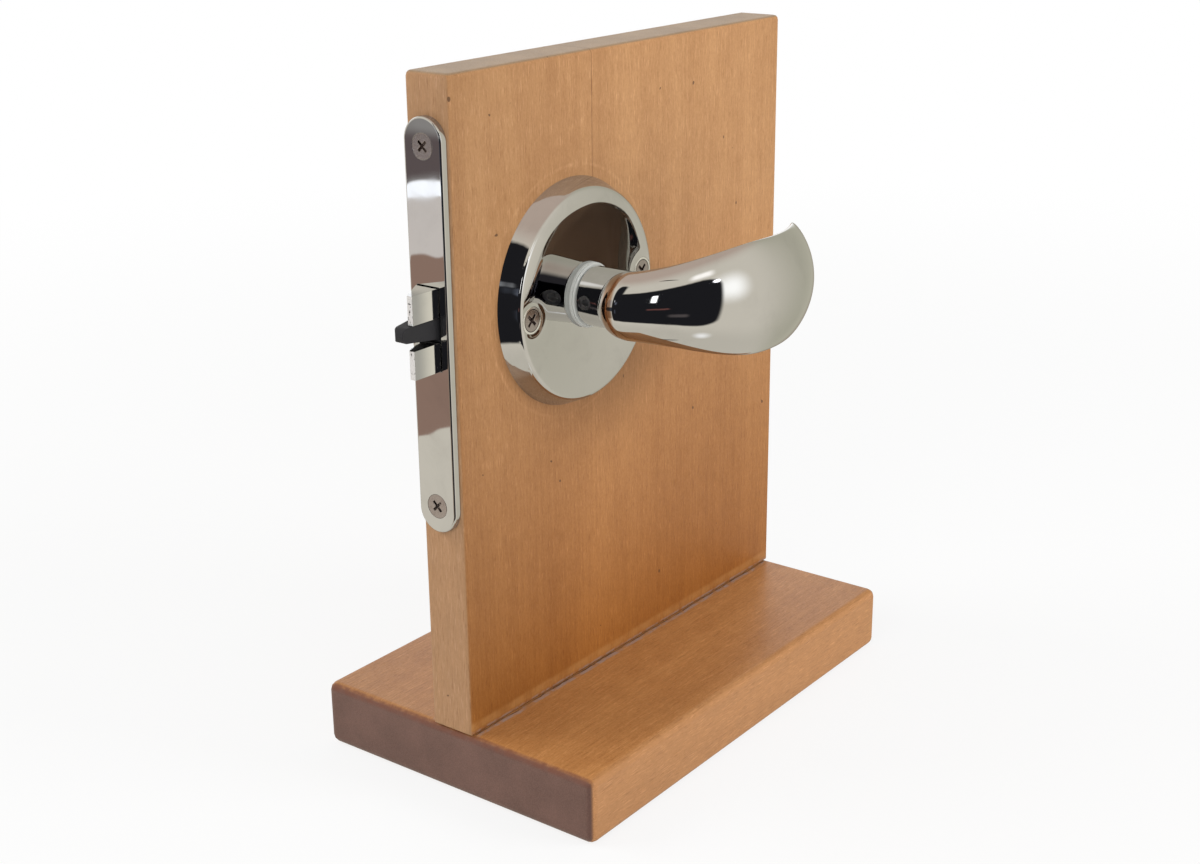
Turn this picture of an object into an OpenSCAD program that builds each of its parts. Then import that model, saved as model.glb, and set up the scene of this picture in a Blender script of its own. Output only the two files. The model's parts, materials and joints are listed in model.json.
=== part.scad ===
// Mortise lever latch on a wooden display stand.
// Origin: middle of the base's underside. +X runs from the latch edge along the panel, -Y is the front.

/* [Stand] */
// Length of the base board and of the panel that stands flush on it
stand_length = 195; // [150:1:260]
// Depth of the base board, front to back
base_width = 125; // [90:1:180]
// Height of the base board
base_height = 25; // [18:1:40]
// Thickness of the upright panel
panel_thickness = 18.5; // [17.5:0.5:24]
// Height of the upright panel above the base
panel_height = 231; // [222:1:300]
// Rounding of the base's edges
base_edge = 2.5; // [0.5:0.5:4]
// Rounding of the panel's edges
panel_edge = 1; // [0.5:0.5:3]
// Length of the screws that hold the panel
stand_screw_length = 58; // [50:1:75]
// Shank diameter of those screws
stand_screw_shank = 4.5; // [3.5:0.5:6]
// Distance between those screws
stand_screw_spacing = 124; // [90:2:130]

/* [Latch position] */
// Height of the lever's axis above the table
hub_height = 173.5; // [130:0.5:182]
// Distance of the lever's axis from the panel's edge
backset = 61; // [59:0.5:66]

/* [Face plate] */
// Length of the face plate
plate_length = 141; // [136:0.5:150]
// Width of the face plate
plate_width = 16; // [14:0.5:17]
// Thickness of the face plate
plate_thickness = 2.7; // [2:0.1:4]
// Rounding of the plate's front edge
plate_edge = 0.8; // [0.2:0.1:1.4]
// How far the plate's middle lies below the lever's axis
plate_drop = 1.5; // [0:0.5:3]
// Distance between the plate's screws
plate_screw_spacing = 122; // [118:0.5:124]
// Head diameter of the plate's screws
plate_screw_head = 8.5; // [7:0.5:9]
// Shank diameter of the plate's screws
plate_screw_shank = 4; // [3:0.5:4.5]
// Length of the plate's screws
plate_screw_length = 25; // [18:1:35]

/* [Latch case] */
// Height of the mortise case
case_height = 100; // [90:1:106]
// Thickness of the mortise case
case_thickness = 12; // [11:0.5:13]
// Wall of the mortise case
case_wall = 1.2; // [1:0.1:1.6]
// Depth of the case behind the lever's axis
case_behind_hub = 23.5; // [22:0.5:26]
// Diameter of the cover's screws
cover_screw_shank = 2.5; // [2:0.5:3]

/* [Bolt] */
// Height of the bolt over both prongs
bolt_height = 28; // [26:0.5:30]
// Gap between the prongs, which holds the tongue
prong_gap = 8.5; // [7:0.5:10]
// How far the prongs stand out of the plate
bolt_projection = 12.5; // [10:0.5:13]
// Width of the prongs' blunt nose
bolt_nose = 2.2; // [1:0.1:4]
// Depth of the bolt's bevel, from the nose towards the plate
bolt_bevel = 11.5; // [8:0.5:12]
// How far the tongue leads the prongs
tongue_lead = 4.5; // [2:0.5:4.5]
// Thickness of the bolt's tail plate
tail_thickness = 3; // [2:0.5:3.5]
// Diameter of the rivets that hold the tail
rivet_diameter = 3; // [2:0.5:3]
// Diameter of the rod that carries the bolt spring
spring_rod = 4; // [3:0.5:4.5]

/* [Follower] */
// Diameter of the follower's body
follower_diameter = 19; // [17:0.5:20]
// Diameter of the follower's journals
follower_journal = 16; // [15:0.5:16]
// Width of the follower's arms
arm_width = 7; // [5:0.5:7]
// Angle that the lever turns through
lever_turn = 38; // [34:1:42]
// Side of the square spindle
spindle_side = 8; // [7:0.5:8]
// Diameter of the stop pins
stop_pin = 4; // [3:0.5:4]

/* [Rose] */
// Diameter of the roses at the panel
rose_diameter = 81; // [80:0.5:86]
// Height of the roses above the panel
rose_thickness = 7.5; // [6:0.5:10]
// How much the rose's radius narrows from the panel to its face
rose_taper = 3.3; // [2:0.1:3.6]
// Wall of the roses
rose_wall = 2.4; // [1.5:0.1:2.6]
// Rounding of the rose's front edge
rose_edge = 2.2; // [1:0.1:2.4]
// Distance between the rose's two screws
fixing_spacing = 63; // [61:0.5:63.5]
// Turn of the screw pattern about the lever's axis
fixing_turn = 4; // [0:0.5:6]
// Head diameter of the rose's screws
rose_screw_head = 9.5; // [8:0.5:9.5]
// Diameter of the through screws
rose_screw_shank = 4; // [3:0.5:4]

/* [Bush] */
// Outside diameter of the bush's flange
bush_diameter = 23; // [22.5:0.5:28]
// How far the bush stands out of the rose
bush_projection = 1.9; // [1.5:0.1:4]
// Diameter of the lever's journal in the bush
journal_diameter = 17; // [15:0.5:18]

/* [Lever] */
// Diameter of the lever's neck
neck_diameter = 21; // [19:0.5:22.5]
// Length of the round neck from the bush to the grip's nose
neck_length = 13.5; // [12.5:0.5:14.5]
// Height of the grip at its widest
grip_height = 39.8; // [34:0.2:46]
// Radius of the grip's sweep towards its tip, seen from above
grip_sweep = 44; // [40:1:50]
// Radius of the grip's wider sweep by the nose
nose_sweep = 56.5; // [52:0.5:62]
// Length from the lever's axis to the middle of the sweep
grip_centre = 39; // [37:0.5:41]
// Thickness of the grip along its middle
grip_thickness = 7; // [5:0.2:9]
// Diameter of the set screw in the neck
grub_diameter = 5; // [4:0.5:6]

/* [Fits] */
// Play of flat sliding pieces, on each side
side_gap = 0.3; // [0.2:0.05:0.4]
// Radial play of turning and sliding round pieces
running_gap = 0.06; // [0.03:0.01:0.1]
// Radial play of screws and pins in their own holes
hole_gap = 0.05; // [0.02:0.01:0.1]
// Room round the case in its mortise
mortise_gap = 0.5; // [0.3:0.1:0.8]

/* [Hidden] */
$fn = 64;
tiny = 0.01;

chrome_colour = [0.82, 0.83, 0.84];
steel_colour = [0.62, 0.63, 0.65];
nylon_colour = [0.78, 0.79, 0.77];
nylon_black = [0.08, 0.08, 0.09];
wood_colour = [0.69, 0.43, 0.26];

// Cross recess of the screw heads, as parts of the head's diameter
recess_span = 0.54;
recess_width = 0.11;
// Depth of that recess, as a part of the head's cone
recess_depth = 0.75;
// Straight rim of the screw heads
screw_rim = 0.3;

// Places, with x from the panel's edge, y from the panel's middle and z from the lever's axis
latch_edge = -stand_length / 2;
panel_face = panel_thickness / 2;
plate_middle = -plate_drop;
stand_screw_sink = 0.4;
door_hole_room = 2.5;
door_hole = journal_diameter + 2 * door_hole_room;

// Case
case_depth = backset + case_behind_hub;
case_inside = case_thickness / 2 - case_wall;
cover_screw_inset = 5;
cover_screw_head = 2 * cover_screw_shank - 1;
cover_screw_length = case_thickness * 0.7;
cover_boss = cover_screw_shank + 4.5;

// Bolt, at rest with its prongs out
bolt_travel = bolt_projection;
bolt_half = bolt_height / 2;
bolt_thickness = 2 * (case_inside - side_gap);
bolt_front = -plate_thickness - bolt_projection;
prong_half_gap = prong_gap / 2;
tail_face = bolt_thickness / 2 - tail_thickness;
tail_start = case_wall + side_gap;
tail_lap = 6;
rivet_inset = 3.5;

// Fixing screws of the roses, which pass the case in a pillar
fixing_x = fixing_spacing / 2 * cos(fixing_turn);
fixing_z = fixing_spacing / 2 * sin(fixing_turn);
sleeve_diameter = rose_screw_shank + 1.6;
sleeve_hole = sleeve_diameter + 2 * hole_gap;
sleeve_reach = 2;
pillar_diameter = sleeve_hole + 1.8;
pillar_x = backset - fixing_x;

// Web between the prongs, which stops short of the pillar, and the heel that passes round it
web_thickness = 3;
heel_length = 5.7;
web_end = pillar_x - pillar_diameter / 2 - side_gap - bolt_travel;
web_start = web_end - web_thickness;
body_end = web_end + heel_length;

// Tongue, with a foot behind the shoulders of the prongs
tongue_half = prong_half_gap - side_gap;
tongue_thick = bolt_thickness / 2 - 2 * side_gap;
tongue_tip = bolt_front - tongue_lead;
tongue_tip_round = 2.6;
tongue_chin = 0.8;
tongue_foot = 1.2;
foot_length = 3.1;
foot_half = tongue_half + 1;
shoulder = 1.9;
tongue_bore = 4.4;
tongue_bore_start = -9;

// Follower: its upper arm drives the bolt through the lug on the tail
arm_radius = bolt_travel / (lever_turn * PI / 180);
arm_tip = arm_radius + arm_width / 2;
lug_x = backset + arm_width / 2 + side_gap;
lug_thickness = 4;
tail_low = follower_diameter / 2 + 2;
lug_top = arm_tip + 1.5;
arm_front = -bolt_thickness / 2;
arm_back = tail_face - 2 * side_gap;
stop_pin_radius = follower_diameter / 2 + 4;

// Springs and what they bear on: a tab and a bracket for the bolt's, a lug for the follower's
coil_room = 0.1;
spring_diameter = spring_rod + 3;
spring_wire = 0.9;
spring_rise = 8;
spring_level = arm_tip + spring_rise;
guide_tab = 2;
tab_margin = 5;
tab_top = spring_level + tab_margin;
bracket_offset = 15;
bracket_x = lug_x - bracket_offset;
bracket_width = 3;
bracket_half = spring_level - lug_top - 0.5;
return_level = -arm_radius;
return_lug_width = 3;
return_lug_x = pillar_x - return_lug_width;
return_lug_low = return_level - tab_margin;
return_lug_top = -bolt_half - side_gap;

// Rose, bush and lever, on the front
rose_face = panel_face + rose_thickness;
bush_face = rose_face + bush_projection;
rose_boss = rose_screw_head + 3;
bush_spigot = journal_diameter + 4;
bush_ridge = bush_projection / 5;
bush_step = 0.5;
neck_start = bush_face + side_gap;
neck_end = neck_start + neck_length;
journal_end = panel_face + 1.5;
spindle_hole = spindle_side + 2 * running_gap;
spindle_end = neck_end + 0.5;
grub_y = neck_start + 3.6;
grub_sink = 0.6;
grub_length = neck_diameter / 2 - spindle_side / 2 - grub_sink;
grub_socket = grub_diameter * 0.58;

// Grip: bent ellipses along two arcs seen from above, from the nose by the neck to the tip
sweep_setback = 9.35;
grip_middle_y = neck_end - sweep_setback;
nose_angle = 75;
sweep_join = 35;
tip_angle = -50;
grip_middle = [grip_centre, -grip_middle_y];
nose_middle = grip_middle + (nose_sweep - grip_sweep) * [sin(sweep_join), cos(sweep_join)];
nose_length = nose_sweep * (nose_angle - sweep_join) * PI / 180;
grip_length = nose_length + grip_sweep * (sweep_join - tip_angle) * PI / 180;
nose_round = 11;
nose_edge = 5;
tip_round = 17;
nose_half_height = 12;
nose_crown = 1;
grip_crown = 4.9;
nose_body = 7.5;
widen_start = 5;
widen_length = 42;
thin_length = 44;
grip_rings = 31;
grip_sides = 28;
// The neck ends inside the grip, this far in front of the sweep's line
neck_sink = 4.5;

// Springs
coil_steps = 14;
wire_sides = 8;

// A flat outline with round corners
module rounded_rectangle(width, height, radius) {
    square([width - 2 * radius, height], center = true);
    square([width, height - 2 * radius], center = true);
    for (x = [-1, 1], y = [-1, 1])
        translate([x * (width / 2 - radius), y * (height / 2 - radius)]) circle(radius);
}

// A board whose twelve edges are rounded, centred in x and y and standing on z = 0
module board(length, width, height, radius) {
    translate([0, 0, height / 2]) intersection() {
        linear_extrude(height, center = true) rounded_rectangle(length, width, radius);
        rotate([90, 0, 0]) linear_extrude(width, center = true) rounded_rectangle(length, height, radius);
        rotate([90, 0, 90]) linear_extrude(length, center = true) rounded_rectangle(width, height, radius);
    }
}

// A cylinder along +x from x = start to x = stop
module rod_x(diameter, start, stop) {
    translate([start, 0, 0]) rotate([0, 90, 0]) cylinder(h = stop - start, d = diameter);
}

// A cylinder along +y from y = start to y = stop
module rod_y(diameter, start, stop) {
    translate([0, start, 0]) rotate([-90, 0, 0]) cylinder(h = stop - start, d = diameter);
}

// Places its children with x from the latch edge and z from the lever's axis
module at_latch() {
    translate([latch_edge, 0, hub_height]) children();
}

// Places its children with x and z from the lever's axis
module at_hub() {
    at_latch() translate([backset, 0, 0]) children();
}

// Mirrors its children to the rear side
module on_rear() {
    mirror([0, 1, 0]) children();
}

// Repeats its children at the two fixing screws of the roses
module at_fixings() {
    at_hub() for (side = [-1, 1]) translate([side * fixing_x, 0, side * fixing_z]) children();
}

// A countersunk screw along +z, its head's face at z = 0, with a cross recess
module countersunk_screw(head, shank, length, point) {
    cone = (head - shank) / 2;
    difference() {
        union() {
            cylinder(h = screw_rim, d = head);
            translate([0, 0, screw_rim]) cylinder(h = cone, d1 = head, d2 = shank);
            cylinder(h = length - point, d = shank);
            if (point > 0)
                translate([0, 0, length - point]) cylinder(h = point, d1 = shank, d2 = shank / 8);
        }
        for (turn = [45, 135]) rotate(turn)
            translate([-head * recess_span / 2, -head * recess_width / 2, -tiny])
                cube([head * recess_span, head * recess_width, cone * recess_depth]);
    }
}

// The hole that such a screw fits, with the radial gap round it
module screw_hole(head, shank, length, gap) {
    cone = (head - shank) / 2;
    translate([0, 0, -1]) cylinder(h = 1 + screw_rim, d = head + 2 * gap);
    translate([0, 0, screw_rim]) cylinder(h = cone, d1 = head + 2 * gap, d2 = shank + 2 * gap);
    cylinder(h = length + gap, d = shank + 2 * gap);
}

// A coil spring along +z: a round wire swept along a helix
module coil_spring(diameter, wire, length, turns) {
    radius = (diameter - wire) / 2;
    steps = turns * coil_steps;
    rise = (length - wire) / steps;
    skin = [for (i = [0:steps]) for (j = [0:wire_sides - 1]) let (
        along = 360 * i / coil_steps,
        around = 360 * j / wire_sides,
        reach = radius + wire / 2 * cos(around)
    ) [reach * cos(along), reach * sin(along), wire / 2 + i * rise + wire / 2 * sin(around)]];
    walls = [for (i = [0:steps - 1]) for (j = [0:wire_sides - 1]) let (k = (j + 1) % wire_sides)
        [i * wire_sides + j, (i + 1) * wire_sides + j, (i + 1) * wire_sides + k, i * wire_sides + k]];
    first = [for (j = [0:wire_sides - 1]) j];
    last = [for (j = [wire_sides - 1:-1:0]) steps * wire_sides + j];
    polyhedron(skin, concat(walls, [first, last]), convexity = 10);
}

// Half of the plate's cross-section, for its round ends
module plate_section(half_width) {
    difference() {
        square([half_width, plate_thickness]);
        translate([half_width - plate_edge, plate_thickness - plate_edge]) difference() {
            square(plate_edge + tiny);
            circle(plate_edge, $fn = 32);
        }
    }
}

// Screws of the stand, from under the base into the panel
module at_stand_screws() {
    for (side = [-1, 1]) translate([side * stand_screw_spacing / 2, 0, stand_screw_sink]) children();
}

module stand_base() {
    color(wood_colour) difference() {
        board(stand_length, base_width, base_height, base_edge);
        at_stand_screws() screw_hole(2 * stand_screw_shank, stand_screw_shank, base_height, hole_gap);
    }
}

module stand_panel() {
    color(wood_colour) difference() {
        translate([0, 0, base_height]) board(stand_length, panel_thickness, panel_height, panel_edge);
        at_stand_screws() screw_hole(2 * stand_screw_shank, stand_screw_shank, stand_screw_length, hole_gap);
        mortise();
        at_hub() rod_y(door_hole, -panel_thickness, panel_thickness);
        at_fixings() rod_y(sleeve_hole, -panel_thickness, panel_thickness);
        at_plate_screws()
            screw_hole(plate_screw_head, plate_screw_shank, plate_screw_length, hole_gap);
    }
}

// The pocket for the case
module mortise() {
    low = plate_middle - case_height / 2 - mortise_gap;
    at_latch() translate([-tiny, -case_thickness / 2 - mortise_gap, low])
        cube([case_depth + mortise_gap, case_thickness + 2 * mortise_gap, case_height + 2 * mortise_gap]);
}

module stand_screws() {
    color(steel_colour) at_stand_screws()
        countersunk_screw(2 * stand_screw_shank, stand_screw_shank, stand_screw_length, stand_screw_shank);
}

// The plate's screws, along +x from the plate's front
module at_plate_screws() {
    at_latch() for (side = [-1, 1])
        translate([-plate_thickness, 0, plate_middle + side * plate_screw_spacing / 2]) rotate([0, 90, 0])
            children();
}

// The window that the bolt slides in, through the plate and the case's front
module bolt_window() {
    at_latch() translate([-plate_thickness - 1, -case_inside, -bolt_half - side_gap])
        cube([plate_thickness + case_wall + 2, 2 * case_inside, bolt_height + 2 * side_gap]);
}

module face_plate() {
    straight = plate_length - plate_width;
    color(chrome_colour) difference() {
        at_latch() translate([0, 0, plate_middle]) rotate([0, -90, 0]) union() {
            for (side = [-1, 1]) translate([side * straight / 2, 0, 0])
                rotate_extrude() plate_section(plate_width / 2);
            for (side = [0, 1]) mirror([0, side, 0])
                translate([-straight / 2, 0, 0]) rotate([90, 0, 90])
                    linear_extrude(straight) plate_section(plate_width / 2);
        }
        bolt_window();
        at_plate_screws()
            screw_hole(plate_screw_head, plate_screw_shank, plate_screw_length, hole_gap);
    }
}

module plate_screws() {
    color(chrome_colour) at_plate_screws()
        countersunk_screw(plate_screw_head, plate_screw_shank, plate_screw_length, plate_screw_shank);
}

// Places for the cover's screws, in the case's corners
module at_cover_screws() {
    at_latch() for (x = [cover_screw_inset, case_depth - cover_screw_inset], side = [-1, 1])
        translate([x, -case_thickness / 2, plate_middle + side * (case_height / 2 - cover_screw_inset)])
            rotate([-90, 0, 0]) children();
}

// The case is a tray that is open to the front, with the pillar, bracket and bosses that it carries
module latch_case() {
    low = plate_middle - case_height / 2;
    color(steel_colour) difference() {
        union() {
            at_latch() difference() {
                translate([0, -case_inside, low])
                    cube([case_depth, case_inside + case_thickness / 2, case_height]);
                translate([case_wall, -case_thickness, low + case_wall])
                    cube([case_depth - 2 * case_wall, case_thickness + case_inside, case_height - 2 * case_wall]);
            }
            at_latch() translate([pillar_x, 0, -fixing_z]) rod_y(pillar_diameter, -case_inside, case_inside);
            at_latch() translate([bracket_x, -case_inside, spring_level - bracket_half])
                cube([bracket_width, 2 * case_inside, 2 * bracket_half]);
            at_latch() translate([return_lug_x, -case_inside, return_lug_low])
                cube([return_lug_width, 2 * case_inside, return_lug_top - return_lug_low]);
            at_cover_screws() translate([0, 0, case_wall]) cylinder(h = 2 * case_inside, d = cover_boss);
        }
        bolt_window();
        at_cover_screws() cylinder(h = 2 * case_inside, d = cover_screw_shank + 2 * hole_gap);
        at_hub() rod_y(follower_journal + 2 * running_gap, -case_thickness, case_thickness);
        at_fixings() rod_y(sleeve_hole, -case_thickness, case_thickness);
        at_latch() translate([0, 0, spring_level])
            rod_x(spring_rod + 2 * running_gap, bracket_x - 1, bracket_x + bracket_width + 1);
        at_stop_pins() rod_y(stop_pin + 2 * hole_gap, -case_thickness, case_thickness);
    }
}

module case_cover() {
    color(steel_colour) difference() {
        at_latch() translate([0, -case_thickness / 2, plate_middle - case_height / 2])
            cube([case_depth, case_wall, case_height]);
        at_cover_screws() screw_hole(cover_screw_head, cover_screw_shank, case_thickness, hole_gap);
        at_hub() rod_y(follower_journal + 2 * running_gap, -case_thickness, case_thickness);
        at_fixings() rod_y(sleeve_hole, -case_thickness, case_thickness);
        at_stop_pins() rod_y(stop_pin + 2 * hole_gap, -case_thickness, case_thickness);
    }
}

module cover_screws() {
    color(steel_colour) at_cover_screws()
        countersunk_screw(cover_screw_head, cover_screw_shank, cover_screw_length, 0);
}

// Bolt seen from above: flat on the near side, bevelled on the far side
module bolt_plan(end) {
    half = bolt_thickness / 2;
    polygon([
        [bolt_front, -half], [end, -half], [end, half], [bolt_front + bolt_bevel, half],
        [bolt_front, -half + bolt_nose]
    ]);
}

// Two prongs joined by a web: the tongue's chamber in front of it, the pillar's notch behind it
module bolt_head() {
    chamber = 2 * (foot_half + side_gap);
    notch = pillar_diameter + 2 * side_gap;
    color(chrome_colour) difference() {
        at_latch() translate([0, 0, -bolt_half]) linear_extrude(bolt_height) bolt_plan(body_end);
        at_latch() translate([bolt_front - 1, -bolt_thickness, -prong_half_gap])
            cube([web_start - bolt_front + 1, 2 * bolt_thickness, prong_gap]);
        at_latch() translate([-shoulder - side_gap, -bolt_thickness, -chamber / 2])
            cube([web_start + side_gap + shoulder, 2 * bolt_thickness, chamber]);
        at_latch() translate([web_end, -bolt_thickness, -fixing_z - notch / 2])
            cube([body_end, 2 * bolt_thickness, notch]);
        at_latch() translate([tail_start, tail_face, bolt_half - tail_lap])
            cube([body_end, tail_thickness + 1, tail_lap + 1]);
        at_rivets() rod_y(rivet_diameter + 2 * hole_gap, -bolt_thickness, bolt_thickness);
    }
}

// Rivets through the bolt and its tail
module at_rivets() {
    at_latch() for (x = [tail_start + rivet_inset, body_end - rivet_inset])
        translate([x, 0, bolt_half - tail_lap / 2]) children();
}

module tail_rivets() {
    color(steel_colour) at_rivets() rod_y(rivet_diameter, -bolt_thickness / 2, bolt_thickness / 2);
}

// The tail runs over the follower to the lug; its tab holds the spring guide
module bolt_tail() {
    half = bolt_thickness / 2;
    color(steel_colour) difference() {
        at_latch() {
            translate([tail_start, tail_face, bolt_half - tail_lap])
                cube([body_end - tail_start, tail_thickness, lug_top - bolt_half + tail_lap]);
            translate([tail_start, tail_face, tail_low])
                cube([lug_x + lug_thickness - tail_start, tail_thickness, lug_top - tail_low]);
            translate([lug_x, -half, tail_low]) cube([lug_thickness, bolt_thickness, lug_top - tail_low]);
            translate([body_end - guide_tab, -half, bolt_half + side_gap])
                cube([guide_tab, bolt_thickness, tab_top - bolt_half - side_gap]);
        }
        at_rivets() rod_y(rivet_diameter + 2 * hole_gap, -bolt_thickness, bolt_thickness);
        at_latch() translate([0, 0, spring_level])
            rod_x(spring_rod - 1 + 2 * hole_gap, 0, body_end + 1);
    }
}

// Rod that slides in the case's bracket, shouldered on the tab and riveted over
module spring_guide() {
    reach = bracket_x + bracket_width + 2;
    color(steel_colour) at_latch() translate([0, 0, spring_level]) {
        rod_x(spring_rod - 1, body_end - guide_tab, body_end + 1);
        rod_x(spring_rod, body_end, reach);
    }
}

module bolt_spring() {
    color(steel_colour) at_latch() translate([body_end + coil_room, 0, spring_level]) rotate([0, 90, 0])
        coil_spring(spring_diameter, spring_wire, bracket_x - body_end - 2 * coil_room, 7);
}

// Tongue seen from the front: a foot behind the shoulder and a finger that thins towards its tip
module tongue() {
    color(nylon_black) at_latch() difference() {
        intersection() {
            rotate([90, 0, 0]) linear_extrude(2 * tongue_thick, center = true) tongue_front();
            translate([0, 0, -prong_gap]) linear_extrude(2 * prong_gap) tongue_plan();
        }
        rod_x(tongue_bore, tongue_bore_start, tongue_foot + 1);
    }
}

module tongue_front() {
    polygon([
        [0, tongue_half], [tongue_tip + tongue_tip_round, tongue_half],
        [tongue_tip + tongue_tip_round, tongue_half - 2 * tongue_tip_round],
        [-plate_thickness, tongue_chin - tongue_half], [-plate_thickness, -tongue_half], [0, -tongue_half]
    ]);
    translate([tongue_tip + tongue_tip_round, tongue_half - tongue_tip_round]) circle(tongue_tip_round);
    translate([tongue_foot - foot_length, -foot_half]) square([foot_length, 2 * foot_half]);
}

// Tongue seen from above, bevelled like the bolt with its corners taken off
module tongue_plan() {
    flat = bolt_nose + 1 - tongue_thick;
    polygon([
        [tongue_tip, -tongue_thick], [tongue_foot, -tongue_thick], [tongue_foot, tongue_thick],
        [bolt_front + bolt_bevel - 2, tongue_thick], [tongue_tip + 1.2, flat + 1.2], [tongue_tip, flat]
    ]);
}

module tongue_spring() {
    color(steel_colour) at_latch() translate([tongue_bore_start + coil_room, 0, 0]) rotate([0, 90, 0])
        coil_spring(tongue_bore - 2 * side_gap, 0.6, web_start - tongue_bore_start - 2 * coil_room, 8);
}

// Stop pins: one holds the lower arm at rest, the other at the end of its turn
module at_stop_pins() {
    reach = arm_width / 2 + stop_pin / 2 + side_gap;
    at_hub() translate([reach, 0, -stop_pin_radius]) children();
    at_hub() rotate([0, lever_turn, 0]) translate([-reach, 0, -stop_pin_radius]) children();
}

module stop_pins() {
    color(steel_colour) at_stop_pins() rod_y(stop_pin, -case_thickness / 2, case_thickness / 2);
}

// Hub with two arms and the square hole for the spindle
module follower() {
    half = case_inside - side_gap;
    color(steel_colour) at_hub() difference() {
        union() {
            rod_y(follower_diameter, -half, half);
            rod_y(follower_journal, -case_thickness / 2, case_thickness / 2);
            for (side = [-1, 1]) translate([0, 0, side * arm_radius]) rod_y(arm_width, arm_front, arm_back);
            translate([-arm_width / 2, arm_front, -arm_radius])
                cube([arm_width, arm_back - arm_front, 2 * arm_radius]);
        }
        cube([spindle_hole, 2 * case_thickness, spindle_hole], center = true);
    }
}

module follower_spring() {
    start = return_lug_x + return_lug_width + coil_room;
    stop = backset - arm_width / 2 - coil_room;
    color(steel_colour) at_latch() translate([start, 0, return_level]) rotate([0, 90, 0])
        coil_spring(spring_diameter, spring_wire, stop - start, 7);
}

module spindle() {
    color(steel_colour) at_hub()
        cube([spindle_side, 2 * spindle_end, spindle_side], center = true);
}

// Half of the rose's cross-section: a sloped wall that ends in the round of the front edge
module rose_section() {
    radius = rose_diameter / 2;
    slope = atan(rose_taper / rose_thickness);
    level = rose_thickness - rose_edge;
    middle = radius - (rose_edge + sin(slope) * level) / cos(slope);
    polygon([
        [0, 0], [radius, 0], [middle + rose_edge * cos(slope), level + rose_edge * sin(slope)],
        [middle, rose_thickness], [0, rose_thickness]
    ]);
    translate([middle, level]) circle(rose_edge, $fn = 48);
}

// The rose is a hollow cap with a boss for the bush and two bosses for the screws
module front_rose() {
    face_diameter = rose_diameter - 2 * rose_taper;
    color(chrome_colour) difference() {
        union() {
            at_hub() difference() {
                translate([0, -panel_face, 0]) rotate([90, 0, 0]) rotate_extrude($fn = 128) rose_section();
                rod_y(face_diameter - 2 * rose_wall, -rose_face + rose_wall, 0);
            }
            at_hub() rod_y(bush_spigot + 2 * rose_wall, -rose_face + rose_wall / 2, -panel_face);
            intersection() {
                at_fixings() rod_y(rose_boss, -rose_face + rose_wall / 2, -panel_face);
                at_hub() rod_y(face_diameter, -rose_face, 0);
            }
        }
        at_hub() rod_y(bush_spigot + 2 * hole_gap, -rose_face - 1, 0);
        at_rose_screws() screw_hole(rose_screw_head, rose_screw_shank, rose_thickness, hole_gap);
        at_fixings() rod_y(sleeve_hole, -panel_face - sleeve_reach, 0);
    }
}

module rear_rose() {
    on_rear() front_rose();
}

// Places for the screw heads on the front rose, each screw along +y
module at_rose_screws() {
    at_fixings() translate([0, -rose_face, 0]) rotate([-90, 0, 0]) children();
}

// Machine screws from the front, which end inside the sleeve nuts
module rose_screws() {
    color(chrome_colour) at_rose_screws()
        countersunk_screw(rose_screw_head, rose_screw_shank, rose_face + panel_face - 2, 0);
}

// Sleeve nuts from the rear, with the same head
module sleeve_nuts() {
    color(chrome_colour) on_rear() at_rose_screws() difference() {
        union() {
            countersunk_screw(rose_screw_head, rose_screw_shank, rose_thickness - sleeve_reach, 0);
            translate([0, 0, rose_thickness - sleeve_reach])
                cylinder(h = panel_thickness + 2 * sleeve_reach - 1, d = sleeve_diameter);
        }
        translate([0, 0, rose_thickness - sleeve_reach + 1])
            cylinder(h = panel_thickness + 2 * sleeve_reach, d = rose_screw_shank + 2 * hole_gap);
    }
}

// Bush with a flange that shows two ridges, and a spigot in the rose
module front_bush() {
    color(nylon_colour) at_hub() difference() {
        union() {
            rod_y(bush_spigot, -rose_face, -panel_face);
            rod_y(bush_diameter, -bush_face + 2 * bush_ridge, -rose_face);
            rod_y(bush_diameter - 2 * bush_step, -bush_face, -rose_face);
            rod_y(bush_diameter - bush_step, -bush_face + bush_ridge / 2, -bush_face + 1.5 * bush_ridge);
        }
        rod_y(journal_diameter + 2 * running_gap, -bush_face - 1, 0);
    }
}

module rear_bush() {
    on_rear() front_bush();
}

function smooth(t) = let (c = min(1, max(0, t))) c * c * (3 - 2 * c);
function rounding(distance, radius) = sqrt(1 - pow(1 - min(1, max(0, distance / radius)), 2));

// One point of the grip's skin: s runs along the sweep, a goes round the section
function grip_point(s, a) =
    let (
        tip = rounding(grip_length - s, tip_round),
        widen = smooth((s - widen_start) / widen_length),
        half_height = (nose_half_height + (grip_height / 2 - nose_half_height) * widen)
            * rounding(s, nose_round) * tip,
        crown = (nose_crown + (grip_crown - nose_crown) * widen) * tip,
        body = (nose_body + (grip_thickness / 2 - nose_body) * smooth(s / thin_length))
            * rounding(s, nose_edge) * tip,
        by_nose = s < nose_length,
        angle = by_nose ? nose_angle - s / nose_sweep * 180 / PI
            : sweep_join - (s - nose_length) / grip_sweep * 180 / PI,
        radius = (by_nose ? nose_sweep : grip_sweep) + crown * pow(cos(a), 2) + body * cos(a),
        middle = by_nose ? nose_middle : grip_middle
    )
    [middle[0] - radius * sin(angle), middle[1] - radius * cos(angle), half_height * sin(a)];

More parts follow.
